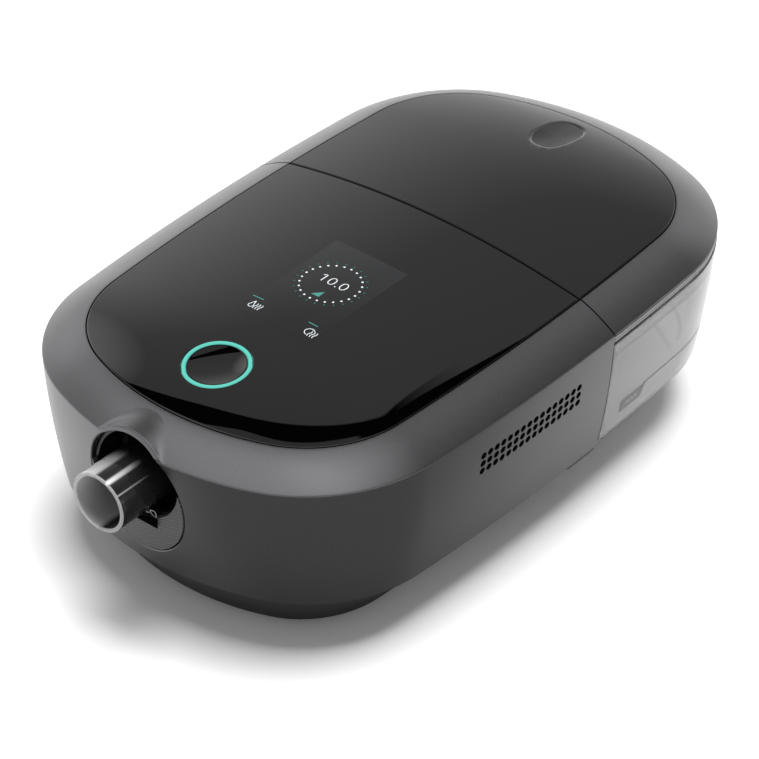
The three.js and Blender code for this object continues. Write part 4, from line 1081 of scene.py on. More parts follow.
# The split's edges are eased by a small bevel that follows the crown
def splitCutter(front):
    edge, side, at = coverShape["splitEdge"], -1 if front else 1, frontEndY if front else rearStartY
    xs = np.linspace(-body["halfWidth"] - 2, body["halfWidth"] + 2, 240)
    crown = crownHeight(xs, np.full(240, at))
    outside = at - side * 3
    corners = [(outside, -edge), (at, -edge), (at + side * (edge + 2), 2), (outside, 3)]
    rings = [np.column_stack([xs, np.full(240, y), crown + lift]) for y, lift in corners]
    return ringSolid("splitEdge", np.array(rings).transpose(1, 0, 2))


powerButton = {
    "y": -86.0,
    "segments": 144,
    "lightOuter": 11.5,
    "lightWidth": 1.05,
    "lightDepth": 4.6,
    "lightEdge": 0.2,
    "lightBend": 0.06,
    "holeEdge": 0.3,
    "depth": 4.4,
    "sink": 0.2,
    "dishDepth": 1.25,
    "dishSteps": 26,
    "rim": 0.3,
    "rimSteps": 6,
    "stemRadius": 2.0,
    "stemLength": 1.6,
}


def buildPanel():
    panel = keep(capSolid("controlPanel"), halfBox(True))
    hole = powerButton["lightOuter"] + body["fitGap"]
    carve(panel, splitCutter(True), hollowSolid(True))
    carve(panel, crownCutter("lightHole", powerButton["y"], hole, powerButton["holeEdge"]))
    dress(panel, "panelGloss", "machine", ["control_panel"], 24)


def buildButton():
    part, turns = powerButton, fullTurn(powerButton["segments"])
    crownHere = float(crownHeight(np.array([0.0]), np.array([part["y"]]))[0])

    def loopAt(radius, height=None, sink=0.0):
        x, y = radius * np.cos(turns), part["y"] + radius * np.sin(turns)
        return np.column_stack([x, y, crownHeight(x, y) - sink if height is None else np.full(len(x), height)])

    outer, low = part["lightOuter"], crownHere - part["lightDepth"]
    inner, edge, bend = outer - part["lightWidth"], part["lightEdge"], part["lightBend"]
    light = ringSolid("lightRing", [
        loopAt(inner, low), loopAt(outer, low), loopAt(outer, sink=edge), loopAt(outer - bend, sink=bend),
        loopAt(outer - edge), loopAt(inner + edge), loopAt(inner + bend, sink=bend), loopAt(inner, sink=edge),
    ], closed=True)
    dress(light, "ringGlow", "machine", ["light_ring"])
    radius, rim, bottom = inner - body["fitGap"], part["rim"], crownHere - part["depth"]

    def topAt(reach):
        return loopAt(reach, sink=part["sink"] + part["dishDepth"] * (1 - (reach / radius) ** 2))

    rings = [loopAt(part["stemRadius"], bottom - part["stemLength"]), loopAt(part["stemRadius"], bottom)]
    rings.append(loopAt(radius, bottom))
    for turn in np.linspace(0, math.pi / 2, part["rimSteps"]):
        rings.append(topAt(radius - rim * (1 - math.cos(turn))) - [0, 0, rim * (1 - math.sin(turn))])
    rings += [topAt((radius - rim) * share) for share in np.linspace(1, 0.02, part["dishSteps"])[1:]]
    dress(ringSolid("powerButton", rings), "panelGloss", "button", ["power_button"])


buildPanel()
buildButton()
print("control panel ready")


# Lid: ring, insert with its finger scoop, trim, tray and seal
lidShape = {
    "bottom": 67.0,
    "ringBottom": 70.3,
    "ringBottomInset": 0.35,
    "ringEdge": 0.4,
    "frontWall": 2.4,
    "innerInset": 3.2,
    "trimTop": 70.0,
    "trimInset": 0.3,
    "trimLean": 0.2,
    "trimWidth": 2.4,
    "trimEdge": 0.4,
    "trayBottom": 67.3,
    "trayTop": 69.3,
    "sealInset": 16.0,
    "sealWidth": 3.0,
    "sealDepth": 1.4,
    "scoopX": -0.9,
    "scoopY": 94.2,
    "scoopHalfWidth": 7.6,
    "scoopHalfLength": 12.5,
    "scoopSquareness": 2.5,
    "scoopBowl": 0.62,
    "scoopStep": 0.95,
    "scoopTurn": -40.0,
    "scoopRim": 0.95,
    "padHalf": 10.0,
    "padFrontY": 77.0,
}


def region(name, inset, startY, bottom, top):
    return keep(stack(name, [(inset, bottom), (inset, top)]), slab(startY))


def scoopCutter(name):
    part, turns = lidShape, fullTurn(160)
    roundness = 2 / part["scoopSquareness"]
    across = np.sign(np.cos(turns)) * np.abs(np.cos(turns)) ** roundness * part["scoopHalfWidth"]
    along = np.sign(np.sin(turns)) * np.abs(np.sin(turns)) ** roundness * part["scoopHalfLength"]
    tilt = np.cos(turns - math.radians(part["scoopTurn"]))
    rim = part["scoopRim"] / part["scoopHalfWidth"]

    def loop(share, stepShare=1.0):
        x, y = part["scoopX"] + across * share, part["scoopY"] + along * share
        step = part["scoopStep"] * (1 + share * tilt) / 2 * stepShare
        return np.column_stack([x, y, crownHeight(x, y) - part["scoopBowl"] * (1 - share**2) - step])

    rings = [loop(share) for share in np.linspace(0.02, 1 - rim - 0.01, 14)]
    rings += [loop(1 - rim * math.sin(turn), 1 - math.cos(turn)) for turn in np.linspace(math.pi / 2, 0, 8)]
    return ringSolid(name, rings + [rings[-1] + [0, 0, 3.0]])


def buildLid():
    part, gap, inner = lidShape, body["fitGap"], lidShape["innerInset"]
    foot = [ring(part["ringBottomInset"], part["ringBottom"])]
    rings = np.concatenate([foot, shellRings[shellShape["wallSteps"]:]])
    rings = roundedTop(roundCorner(rings, 1, part["ringEdge"], shellShape["edgeSteps"]))
    under = [ring(inner + 0.5, part["ringBottom"])]
    lid = ringSolid("lidRing", np.concatenate([rings, shoulderRings[1:], under]), closed=True)
    keep(lid, halfBox(False))
    wall = stack("lidWall", [(inner, part["bottom"]), (inner, ledgeHeight - gap)])
    front = slab(rearStartY, rearStartY + part["frontWall"])
    fuse(lid, keep(wall, ringSolid("envelope", roundedShell), front))
    dress(lid, "bodyPaint", "lid", ["lid_ring"], 24)

    insert = carve(keep(capSolid("lidInsert"), halfBox(False)), splitCutter(False))
    hollow = hollowSolid(False)
    carve(hollow, boxSolid("pad", (-part["padHalf"], part["padFrontY"], 0), (part["padHalf"], far, far)))
    carve(insert, hollow, scoopCutter("scoop"))
    dress(insert, "panelGloss", "lid", ["lid_insert"], 24)

    outer, edge, top, bottom = part["trimInset"], part["trimEdge"], part["trimTop"], part["bottom"]
    back, lean = outer + part["trimWidth"], outer + part["trimLean"]
    profile = [(back, top), (outer + edge, top), (outer, top - edge), (lean, bottom + edge), (lean + edge, bottom),
               (back, bottom)]
    trim = ringSolid("lidTrim", [ring(inset, height) for inset, height in profile], closed=True)
    keep(trim, halfBox(False))
    dress(trim, "trimLight", "lid", ["lid_trim"], 50)

    trayStart = rearStartY + part["frontWall"] + gap
    sealInset, width, sealStart = part["sealInset"], part["sealWidth"], trayStart + part["sealInset"] - inner
    grooveTop = part["trayBottom"] + part["sealDepth"]
    groove = region("groove", sealInset - gap, sealStart - gap, 0, grooveTop)
    carve(groove, region("island", sealInset + width + gap, sealStart + width + gap, 0, far))
    tray = carve(region("lidTray", inner, trayStart, part["trayBottom"], part["trayTop"]), groove)
    dress(tray, "darkPlastic", "lid", ["lid_tray"], 24)
    seal = region("lidSeal", sealInset, sealStart, bottom, grooveTop - gap)
    carve(seal, region("inside", sealInset + width, sealStart + width, 0, far))
    dress(seal, "siliconeFinish", "lid", ["lid_seal"], 24)


buildLid()
print("lid ready")


# Water tank
tankShape = {
    "top": 66.4,
    "wall": 2.2,
    "floor": 2.2,
    "footStep": 3.4,
    "footRise": 2.4,
    "ledgeTop": 61.6,
    "ledgeThickness": 1.7,
    "ledgeWidth": 3.2,
    "sealTop": 63.0,
    "sealWidth": 2.4,
    "sealCut": (40.0, 120.0),
    "coverTop": 66.1,
    "coverThickness": 2.6,
    "flange": 3.4,
    "flangeThickness": 1.2,
    "baseEdge": 0.3,
}


def wallStack(extra, bottom, top, steps=16):
    return [(wallInset(height) + extra, height) for height in np.linspace(bottom, top, steps)]


def tubSpace(name, extra, bottom, top, frontWall=None):
    start = rearStartY + (extra if frontWall is None else frontWall)
    return keep(stack(name, wallStack(extra, bottom, top)), slab(start))


def buildTank():
    part, wall, foot, gap = tankShape, tankShape["wall"], body["wallFoot"], body["fitGap"]
    rise, wide = part["footRise"], wall + part["ledgeWidth"]
    profile = []
    for turn in np.linspace(0, math.pi / 2, 9)[:-1]:
        height = foot + rise * (1 - math.cos(turn))
        profile.append((wallInset(height) + part["footStep"] * (1 - math.sin(turn)), height))
    tub = keep(stack("tankTub", profile + wallStack(0, foot + rise, part["top"], 24)), halfBox(False))
    floorTop, ledgeBottom = foot + part["floor"], part["ledgeTop"] - part["ledgeThickness"]
    carve(tub, tubSpace("low", wall + part["footStep"] / 2, floorTop, floorTop + rise, wall),
          tubSpace("middle", wall, floorTop + rise, ledgeBottom),
          tubSpace("neck", wide, ledgeBottom - 0.5, part["ledgeTop"] + 0.5),
          tubSpace("rim", wall, part["ledgeTop"], body["edgeHeight"]))
    carve(tub, rodHole("z", (0, heater["y"]), heater["radius"] + heater["gap"], 0, floorTop + 0.5))
    portX, portZ, _, bore = sideParts["ports"]["In"]
    for x in (portX, -portX):
        port = rodHole("y", (x, portZ - bore / 4), bore, 0, rearStartY + wall + 0.5)
        carve(tub, keep(port, slab(high=ledgeBottom)))
    dress(tub, "tankClear", "tank", ["tank_tub"], 28)
    cover = tubSpace("tankCover", wall + gap, part["coverTop"] - part["coverThickness"], part["coverTop"])
    dress(cover, "tankClear", "tank", ["tank_cover"], 28)
    seal = tubSpace("tankSeal", wall + gap, part["ledgeTop"] + gap, part["sealTop"])
    carve(seal, tubSpace("inside", wall + gap + part["sealWidth"], *part["sealCut"]))
    dress(seal, "siliconeFinish", "tank", ["tank_seal"], 28)

    middle, radius, edge, low = (0, heater["y"]), heater["radius"], part["baseEdge"], floorTop + gap
    high, reach = low + part["flangeThickness"], radius + part["flange"]
    profile = [(foot, radius - edge), (foot + edge, radius), (low, radius), (low, reach - 0.2), (low + 0.2, reach),
               (high - edge, reach), (high, reach - edge)]
    base = turned("tankBase", "z", middle, profile, segments=160)
    dress(base, "steelFinish", "tank", ["tank_base"])
    low, high = heater["top"] - heater["thickness"], heater["top"]
    plate = roundedRod("heaterPlate", "z", middle, radius, low, high, 0.4, 160)
    dress(plate, "steelFinish", "heater", ["heater_plate"])


buildTank()
print("tank ready")


# Painted highlights on the smoky outlet tube, as light bands along it and over its lit inner wall: angle, flat
# half width and full half width in degrees, strength
highlightStreaks = {
    "outerSharp": (66.0, 1.5, 7.0, 0.9),
    "outerThin": (38.0, 0.3, 2.5, 0.45),
    "outerBroad": (112.0, 15.0, 24.0, 0.55),
    "innerWall": (195.0, 70.0, 88.0, 0.66),
    "light": (0.80, 0.80, 0.81),
    "lightClearness": 0.1,
    "face": 0.5,
    "faceDepth": 0.5,
    "fadeFrom": -0.1315,
    "fadeTo": -0.1150,
    "turnFrom": -0.6,
}


def paintHighlightStreaks(name):
    part, glass, tree = highlightStreaks, glasses[name], paint[name].node_tree
    middle = [outlet["spigotX"], outlet["spigotFrontY"] + part["faceDepth"], outlet["spigotZ"]]
    centreX, faceY, centreZ = toMetres([middle])[0].tolist()
    axes = objectAxes(tree)
    x, z = minus(tree, axes["X"], centreX), minus(tree, axes["Z"], centreZ)
    turn = calc(tree, "ARCTAN2", z, x)
    turn = plus(tree, turn, times(tree, calc(tree, "LESS_THAN", turn, part["turnFrom"]), 2 * math.pi))
    reach = calc(tree, "SQRT", plus(tree, times(tree, x, x), times(tree, z, z)))
    outer = calc(tree, "GREATER_THAN", reach, (outlet["spigotRadius"] - outlet["spigotWall"] / 2) / 1000)
    inner = minus(tree, 1.0, outer)

    def streak(kind, where):
        angle, flat, width, strength = part[kind]
        away = calc(tree, "ABSOLUTE", minus(tree, turn, math.radians(angle)))
        near = ramp(tree, away, math.radians(flat), math.radians(width), strength, 0.0,
                    interpolation_type="SMOOTHSTEP")
        return times(tree, near, where)

    along = ramp(tree, axes["Y"], part["fadeFrom"], part["fadeTo"], 1.0, 0.0)
    face = times(tree, calc(tree, "LESS_THAN", axes["Y"], faceY), part["face"])
    sides = plus(tree, streak("outerSharp", outer), streak("outerBroad", outer))
    sides = plus(tree, sides, streak("outerThin", outer))
    sides = plus(tree, times(tree, sides, along), streak("innerWall", inner))
    # Painted highlights: the bands and the bright front face lighten the colour and take away transmission
    light = calc(tree, "MAXIMUM", sides, face, clamp=True)
    recolour(name, blendColours(tree, light, glass["tint"], part["light"]))
    clear = ramp(tree, light, 0.0, 1.0, glass["clearness"], part["lightClearness"])
    tree.links.new(clear, tree.nodes["Principled BSDF"].inputs["Transmission Weight"])


# Outlet
def buildOutlet():
    part, gap = outlet, body["fitGap"]
    centre, pocketCentre = (part["spigotX"], part["spigotZ"]), (part["pocketX"], part["pocketZ"])
    floorY, frontY, rearY = part["cupRearY"] - part["cupFloor"], part["cupFrontY"], part["cupRearY"]

    def pocketRod(grow, endY=far):
        return rodHole("y", pocketCentre, part["pocketRadius"] + grow, -far, endY, 160)

    cup = outletRod("outletCup", -gap, frontY, rearY)
    step = carve(slab(endY=part["cupSeatY"], high=part["pocketZ"]), pocketRod(0))
    pocket = keep(pocketRod(0, floorY), outletRod("inside", -part["pocketRim"], -far, rearY))
    carve(cup, step, pocket)
    reach = part["spigotRadius"] + part["sealWidth"] + gap
    for name, outer, inner, height, edge in (
            ("ledge", part["stepOuter"], part["stepInner"], part["stepHeight"], part["stepEdge"]),
            ("collar", part["collarOuter"], reach - part["collarLap"], part["collarHeight"], part["collarEdge"])):
        low, high = floorY - height, floorY + part["stepRoot"]
        fuse(cup, roundedTube(name, "y", centre, outer, inner, low, high, edge, 160))
    keep(cup, outletRod("around", -gap, frontY, rearY))
    carve(cup, rodHole("y", centre, reach, segments=160))
    dress(cup, "cupBlack", "machine", ["outlet_cup"], 28)
    plate = keep(ringSolid("outletPlate", roundedShell), outletRod("around", -gap, -far, part["plateBackY"]),
                 slab(endY=part["plateBackY"], high=part["pocketZ"] - gap))
    carve(plate, pocketRod(gap))
    dress(plate, "plateFinish", "machine", ["outlet_plate"], 28)
    outer = part["spigotRadius"]
    spigot = roundedTube("outletSpigot", "y", centre, outer, outer - part["spigotWall"], part["spigotFrontY"],
                         part["spigotRearY"], part["spigotEdge"], 192)
    dress(spigot, "spigotSmoke", "machine", ["outlet_spigot"])
    seal = roundedTube("outletSeal", "y", centre, outer + part["sealWidth"], outer + gap,
                       rearY - part["sealLength"], rearY)
    dress(seal, "rubberFinish", "machine", ["outlet_seal"])


paintHighlightStreaks("spigotSmoke")
buildOutlet()
print("outlet ready")


# A row of upright rods, used to cut grip grooves
def makeRowTree():
    tree, given, leave = newTree("rodRow", [
        ("Count", "Int", 6), ("Pitch", "Float", 0.002), ("Radius", "Float", 0.001), ("Length", "Float", 0.02),
        ("Tilt", "Float", 0.1), ("Start", "Vector", (0.0, 0.0, 0.0)),
    ])
    step = nodeOut(tree, "ShaderNodeCombineXYZ", {"Y": given["Pitch"]})
    line = nodeOut(tree, "GeometryNodeMeshLine", {
        "Count": given["Count"], "Start Location": given["Start"], "Offset": step})
    rod = nodeOut(tree, "GeometryNodeMeshCylinder", {
        "Vertices": 24, "Radius": given["Radius"], "Depth": given["Length"]})
    turn = nodeOut(tree, "ShaderNodeCombineXYZ", {"Y": given["Tilt"]})
    leaning = nodeOut(tree, "GeometryNodeTransform", {"Geometry": rod, "Rotation": turn})
    return endTree(tree, given, leave, copiesOn(tree, line, leaning))


doorShape = {
    "grooves": 5,
    "groovePitch": 2.4,
    "grooveRadius": 1.1,
    "grooveDepth": 0.5,
    "grooveLength": 15.0,
    "grooveStartY": -59.5,
    "tabRadius": 4.0,
    "tabDepth": 1.0,
    "tabRise": 1.0,
}


def wallX(y, z):
    points = quarterOutline(wallInset(z))
    return float(np.interp(abs(y), points[:, 1], points[:, 0]))


def gripGrooves(name, startY, middle):
    part = doorShape
    lean = math.atan2(wallX(startY, middle + 5) - wallX(startY, middle - 5), 10)
    out = wallX(startY, middle) + part["grooveRadius"] - part["grooveDepth"]
    start = tuple(toMetres([[-out, startY, middle]])[0])
    return runTree(rawPiece(name), makeRowTree(), "bodyPaint", {
        "Count": part["grooves"], "Pitch": part["groovePitch"] / 1000, "Radius": part["grooveRadius"] / 1000,
        "Length": part["grooveLength"] / 1000, "Tilt": -lean, "Start": start})


def buildDoors():
    part, sides = doorShape, sideParts["filterDoor"]
    filterDoor = keep(shellSolid("filterDoor"), doorBox(sides, 0))
    carve(filterDoor, gripGrooves("grooves", part["grooveStartY"], (sides[2] + sides[3]) / 2))
    dress(filterDoor, "bodyPaint", "filter_flap", ["filter_door"], 24)
    sides = sideParts["cardDoor"]
    cardDoor = keep(shellSolid("cardDoor"), doorBox(sides, 0))
    at, height = (sides[0] + sides[1]) / 2, sides[2] + part["tabRise"]
    inside = part["tabDepth"] - wallX(at, height)
    carve(cardDoor, roundedRod("tab", "x", (at, height), part["tabRadius"], -far, inside, 0.3, 64))
    dress(cardDoor, "darkPlastic", "card_flap", ["card_door"], 24)


def buildSockets():
    part, centre, gap = sideParts, sideParts["inlet"], body["fitGap"]
    outside, inside = part["inletReach"]
    inlet = roundedRod("powerInlet", "x", centre, part["inletRadius"], -outside, -inside, 0.5)
    carve(inlet, rodHole("x", centre, part["inletBore"], -far, -part["inletFloor"]))
    outside, inside = part["pinReach"]
    fuse(inlet, roundedRod("pin", "x", centre, part["pinRadius"], -outside, -inside, 0.7, 48))
    dress(inlet, "matteBlack", "machine", ["power_inlet"])
    for way, (x, z, radius, bore) in part["ports"].items():
        seal = roundedTube("portSeal" + way, "y", (x, z), radius - gap, bore, frontEndY - part["portSealLength"],
                           frontEndY, 0.4)
        dress(seal, "siliconeFinish", "machine", ["port_seal_" + way.lower()])


buildDoors()
buildSockets()
print("side parts ready")


# Marks lie on the crown, the tank's right wall or the front
def wrapped(piece, place):
    mesh = piece.data
    mesh.vertices.foreach_set("co", toMetres(place(*meshPoints(mesh).T)).ravel())
    mesh.update()
    turnOut(mesh)
    return piece


def onCrown(lift):
    return lambda x, y, rise: np.column_stack([x, y, crownHeight(x, y) + lift + rise])


def reaches(measure, along, heights):
    return np.array([measure(a, b) for a, b in zip(along, heights)])


def onSide(lift):
    return lambda y, z, rise: np.column_stack([reaches(wallX, y, z) + lift + rise, y, z])


def frontReach(x, z):
    points = quarterOutline(wallInset(z))[::-1]
    return float(np.interp(abs(x), points[:, 0], points[:, 1]))


def onFront(lift):
    return lambda x, z, rise: np.column_stack([x, -reaches(frontReach, x, z) - lift - rise, z])


def mark(piece, place, ink, bodyName):
    dress(wrapped(piece, place), ink, bodyName, degrees=None)


markThickness = 0.04


def flatMark(name, shapes):
    points, faces = [], []
    for shape in shapes:
        first, count = len(points), len(shape)
        points += [(x, y, z) for z in (0.0, markThickness) for x, y in shape]
        faces.append(tuple(first + k for k in reversed(range(count))))
        faces.append(tuple(first + count + k for k in range(count)))
        for k in range(count):
            near, beside = first + k, first + (k + 1) % count
            faces.append((near, beside, count + beside, count + near))
    return rawPiece(name, points, faces)


def strokeShapes(points, width):
    points = np.array(points, dtype=float)
    shapes = []
    for start, end in zip(points[:-1], points[1:]):
        along = (end - start) / max(1e-9, np.linalg.norm(end - start))
        across = np.array([-along[1], along[0]]) * width / 2
        shapes.append([tuple(start - across), tuple(end - across), tuple(end + across), tuple(start + across)])
    return shapes


def words(name, text, size, centre, wide=1.0, thin=0.0):
    curve = bpy.data.curves.new(name, "FONT")
    curve.body, curve.size, curve.offset = text, size, -thin
    curve.align_x = curve.align_y = "CENTER"
    curve.extrude = markThickness / 2
    curve.resolution_u = 6
    written = placeNew(name, curve)
    mesh = evaluatedMesh(written)
    bpy.data.objects.remove(written)
    mesh.transform(Matrix.Translation((*centre, markThickness / 2)) @ Matrix.Diagonal((wide, 1.0, 1.0, 1.0)))
    mesh.name = name
    return placeNew(name, mesh)


# Dots in a ring
def makeDotTree():
    tree, given, leave = newTree("dotRing", [
        ("Count", "Int", 24), ("Ring radius", "Float", 10.0), ("Dot radius", "Float", 0.5),
        ("Thickness", "Float", 0.04), ("Centre", "Vector", (0.0, 0.0, 0.0)),
    ])
    circle = nodeOut(tree, "GeometryNodeMeshCircle", {"Vertices": given["Count"], "Radius": given["Ring radius"]})
    placed = nodeOut(tree, "GeometryNodeTransform", {"Geometry": circle, "Translation": given["Centre"]})
    dot = nodeOut(tree, "GeometryNodeMeshCylinder", {
        "Vertices": 20, "Radius": given["Dot radius"], "Depth": given["Thickness"]})
    return endTree(tree, given, leave, copiesOn(tree, placed, dot))


dotTree = makeDotTree()
display = {
    "windowX": (-15.0, 16.5),
    "windowY": (-60.0, -9.0),
    "windowSteps": (33, 54),
    "windowLift": 0.03,
    "windowDepth": 0.3,
    "markLift": 0.075,
    "dots": 24,
    "dotsCentre": (0.5, -30.0),
    "dotsRadius": 10.6,
    "dotSize": 0.39,
    "outerScale": 1.16,
    "outerSize": 0.34,
    "digitsCentre": (0.9, -28.9),
    "digitsSize": 6.2,
    "digitsWide": 1.12,
    "digitsThin": 0.14,
    "wedge": [(-0.9, -38.4), (2.3, -38.3), (2.2, -34.9)],
    "digitFlag": [(-4.6, -27.45), (-3.75, -26.75)],
    "digitFlagWidth": 0.36,
    "bars": [(-13.0, -51.0, 4.7, 0.36), (11.0, -51.0, 3.9, 0.36)],
    "strokeWidth": 0.27,
    "waves": 3,
    "wavePlace": (1.9, -0.4),
    "wavePitch": 1.05,
    "waveLength": 3.1,
    "waveSwing": 0.26,
    "leftIcon": (-10.3, -54.9),
    "drop": (-1.8, -0.8, 0.95, 145, 395),  # place beside the icon's middle, radius, from and to in degrees
    "dropTip": (-1.8, 1.9),
    "rightIcon": (13.5, -55.0),
    "hook": (-0.7, 0.1, 1.75, 40, 265),
    "plateSign": [(4.1, 48.0), (5.5, 48.4), (6.4, 47.6), (6.4, 45.9), (5.2, 45.9), (4.1, 46.9), (4.1, 48.0)],
    "plateStroke": [(2.2, 46.2), (3.5, 46.6)],
    "plateSignWidth": 0.34,
    "plateSignLift": 0.12,
}


# A side strip and the two grids that it joins
def windowSheet(name):
    xs, ys = (np.linspace(*display["window" + axis], steps) for axis, steps in zip("XY", display["windowSteps"]))
    side = [(x, ys[0]) for x in xs[:-1]] + [(xs[-1], y) for y in ys[:-1]]
    side += [(x, ys[-1]) for x in xs[:0:-1]] + [(xs[0], y) for y in ys[:0:-1]]
    count, wide, heights = len(side), len(xs), (-display["windowDepth"], 0.0)
    points = [(x, y, z) for z in heights for x, y in side] + [(x, y, z) for z in heights for y in ys for x in xs]
    faces = [(k, (k + 1) % count, count + (k + 1) % count, count + k) for k in range(count)]
    for level in (0, 1):
        for b in range(len(ys) - 1):
            for a in range(wide - 1):
                at = 2 * count + (level * len(ys) + b) * wide + a
                quad = (at, at + 1, at + wide + 1, at + wide)
                faces.append(quad if level else tuple(reversed(quad)))
    return rawPiece(name, points, faces)


def arcPoints(icon, arc):
    x, y, radius, start, end = arc
    turns = np.linspace(math.radians(start), math.radians(end), 25)
    return np.column_stack([icon[0] + x + radius * np.cos(turns), icon[1] + y + radius * np.sin(turns)])


def iconShapes():
    part, shapes = display, []
    for icon in (part["leftIcon"], part["rightIcon"]):
        for wave in range(part["waves"]):
            rise = np.linspace(-0.5, 0.5, 17)
            middle = icon[0] + part["wavePlace"][0] - wave * part["wavePitch"]
            x = middle + part["waveSwing"] * np.sin(rise * 2 * math.pi)
            y = icon[1] + part["wavePlace"][1] + part["waveLength"] * rise
            shapes += strokeShapes(np.column_stack([x, y]), part["strokeWidth"])
    drop = arcPoints(part["leftIcon"], part["drop"])
    tip = np.add(part["leftIcon"], part["dropTip"])
    shapes += strokeShapes(np.vstack([drop, [tip], drop[:1]]), part["strokeWidth"])
    return shapes + strokeShapes(arcPoints(part["rightIcon"], part["hook"]), part["strokeWidth"])


def buildDisplay():
    part, place = display, onCrown(display["markLift"])
    window = wrapped(windowSheet("displayWindow"), onCrown(part["windowLift"]))
    dress(window, "panelWindow", "machine")
    for name, scale, size, ink in (("displayDots", 1.0, part["dotSize"], "inkWhite"),
                                   ("displayOuterDots", part["outerScale"], part["outerSize"], "inkDim")):
        dots = runTree(rawPiece(name), dotTree, ink, {
            "Count": part["dots"], "Ring radius": part["dotsRadius"] * scale, "Dot radius": size,
            "Thickness": markThickness, "Centre": (*part["dotsCentre"], markThickness / 2)})
        mark(dots, place, ink, "machine")
    digits = words("displayDigits", "10.0", part["digitsSize"], part["digitsCentre"], part["digitsWide"],
                   part["digitsThin"])
    mark(digits, place, "inkWhite", "machine")
    flag = strokeShapes(part["digitFlag"], part["digitFlagWidth"])
    mark(flatMark("digitFlag", flag), place, "inkWhite", "machine")
    width = part["plateSignWidth"]
    sign = strokeShapes(part["plateSign"], width) + strokeShapes(part["plateStroke"], width)
    mark(flatMark("plateSign", sign), onFront(part["plateSignLift"]), "inkPale", "machine")
    bars = [[(x + a * wide / 2, y + b * deep / 2) for a, b in ((-1, -1), (1, -1), (1, 1), (-1, 1))]
            for x, y, wide, deep in part["bars"]]
    for name, shapes, ink in (("displayWedge", [part["wedge"]], "inkTurquoise"),
                              ("displayBars", bars, "inkTurquoise"), ("displayIcons", iconShapes(), "inkWhite")):
        mark(flatMark(name, shapes), place, ink, "machine")


buildDisplay()


# Fill mark on the tank's right wall and the two ribs behind it
fillMark = {
    "flag": [(33.5, 31.4), (34.0, 30.9), (45.2, 30.9), (46.2, 31.7), (47.6, 35.3), (48.8, 36.4), (46.6, 36.4),
             (45.4, 35.8), (34.0, 35.8), (33.5, 35.3)],
    "lineY": (47.0, 86.0),
    "lineZ": 36.2,
    "lineWidth": 0.4,
    "label": "MAX",
    "labelCentre": (39.9, 33.4),
    "labelSize": 3.4,
    "lift": 0.05,
    "ribs": [[(45.2, 65.2), (51.6, 57.6), (60.4, 45.2), (62.0, 42.0)], [(57.0, 65.0), (66.4, 51.5), (67.3, 42.3)]],
    "ribSteps": 40,
    "ribWidth": 1.3,
    "ribDepth": 0.8,
    "ribBehind": 2.25,
}


def smoothLine(points):
    points = np.array(points, dtype=float)
    shape = np.polyfit(np.linspace(0, 1, len(points)), points, len(points) - 1)
    shares = np.linspace(0, 1, fillMark["ribSteps"])
    return np.column_stack([np.polyval(shape[:, 0], shares), np.polyval(shape[:, 1], shares)])


def ribSolid(name, line):
    part, along = fillMark, np.gradient(line, axis=0)
    across = np.column_stack([-along[:, 1], along[:, 0]]) / np.linalg.norm(along, axis=1)[:, None]
    rings = []
    for centre, side in zip(line, across * part["ribWidth"] / 2):
        x = wallX(*centre) - part["ribBehind"]
        low, high = centre - side, centre + side
        rings.append([(x, *low), (x, *high), (x - part["ribDepth"], *high), (x - part["ribDepth"], *low)])
    return ringSolid(name, rings)


def buildFillMark():
    part, place = fillMark, onSide(fillMark["lift"])
    mark(flatMark("fillFlag", [part["flag"]]), place, "inkGrey", "tank")
    line = [(y, part["lineZ"]) for y in np.linspace(*part["lineY"], 60)]
    mark(flatMark("fillLine", strokeShapes(line, part["lineWidth"])), place, "inkGrey", "tank")
    label = words("fillLabel", part["label"], part["labelSize"], part["labelCentre"])
    mark(label, onSide(part["lift"] * 2), "inkPale", "tank")
    for number, rib in enumerate(part["ribs"], 1):
        dress(ribSolid(f"tankRib{number}", smoothLine(rib)), "ribSmoke", "tank")


buildFillMark()
print("marks ready")


# Finishes of the pieces that keep their plain solids
plainPieces = {
    "darkPlastic": ["blower_cover", "intake_duct", "delivery_duct", "return_duct", "filter_frame",
                    "hinge_guide_right", "hinge_guide_left", "hinge_arm_right", "hinge_arm_left"],
    "matteBlack": ["button_switch", "blower_case", "grille_mesh"],
    "boardFinish": ["control_board", "main_board"],
    "steelFinish": ["blower_motor", "card_socket"],
    "rubberFinish": ["blower_boot", "heater_ring"],
    "panelWindow": ["display_module"],
    "impellerFinish": ["impeller"],
    "foamFinish": ["muffler_foam"],
    "filterFinish": ["air_filter"],
    "cardFinish": ["memory_card"],
    "markBlack": ["plate_mark"],
    "tankClear": ["tank_baffle"],
}
for finish, nodes in plainPieces.items():
    for node in nodes:
        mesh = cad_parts[node].data
        mesh.materials.clear()
        mesh.materials.append(paint[finish])

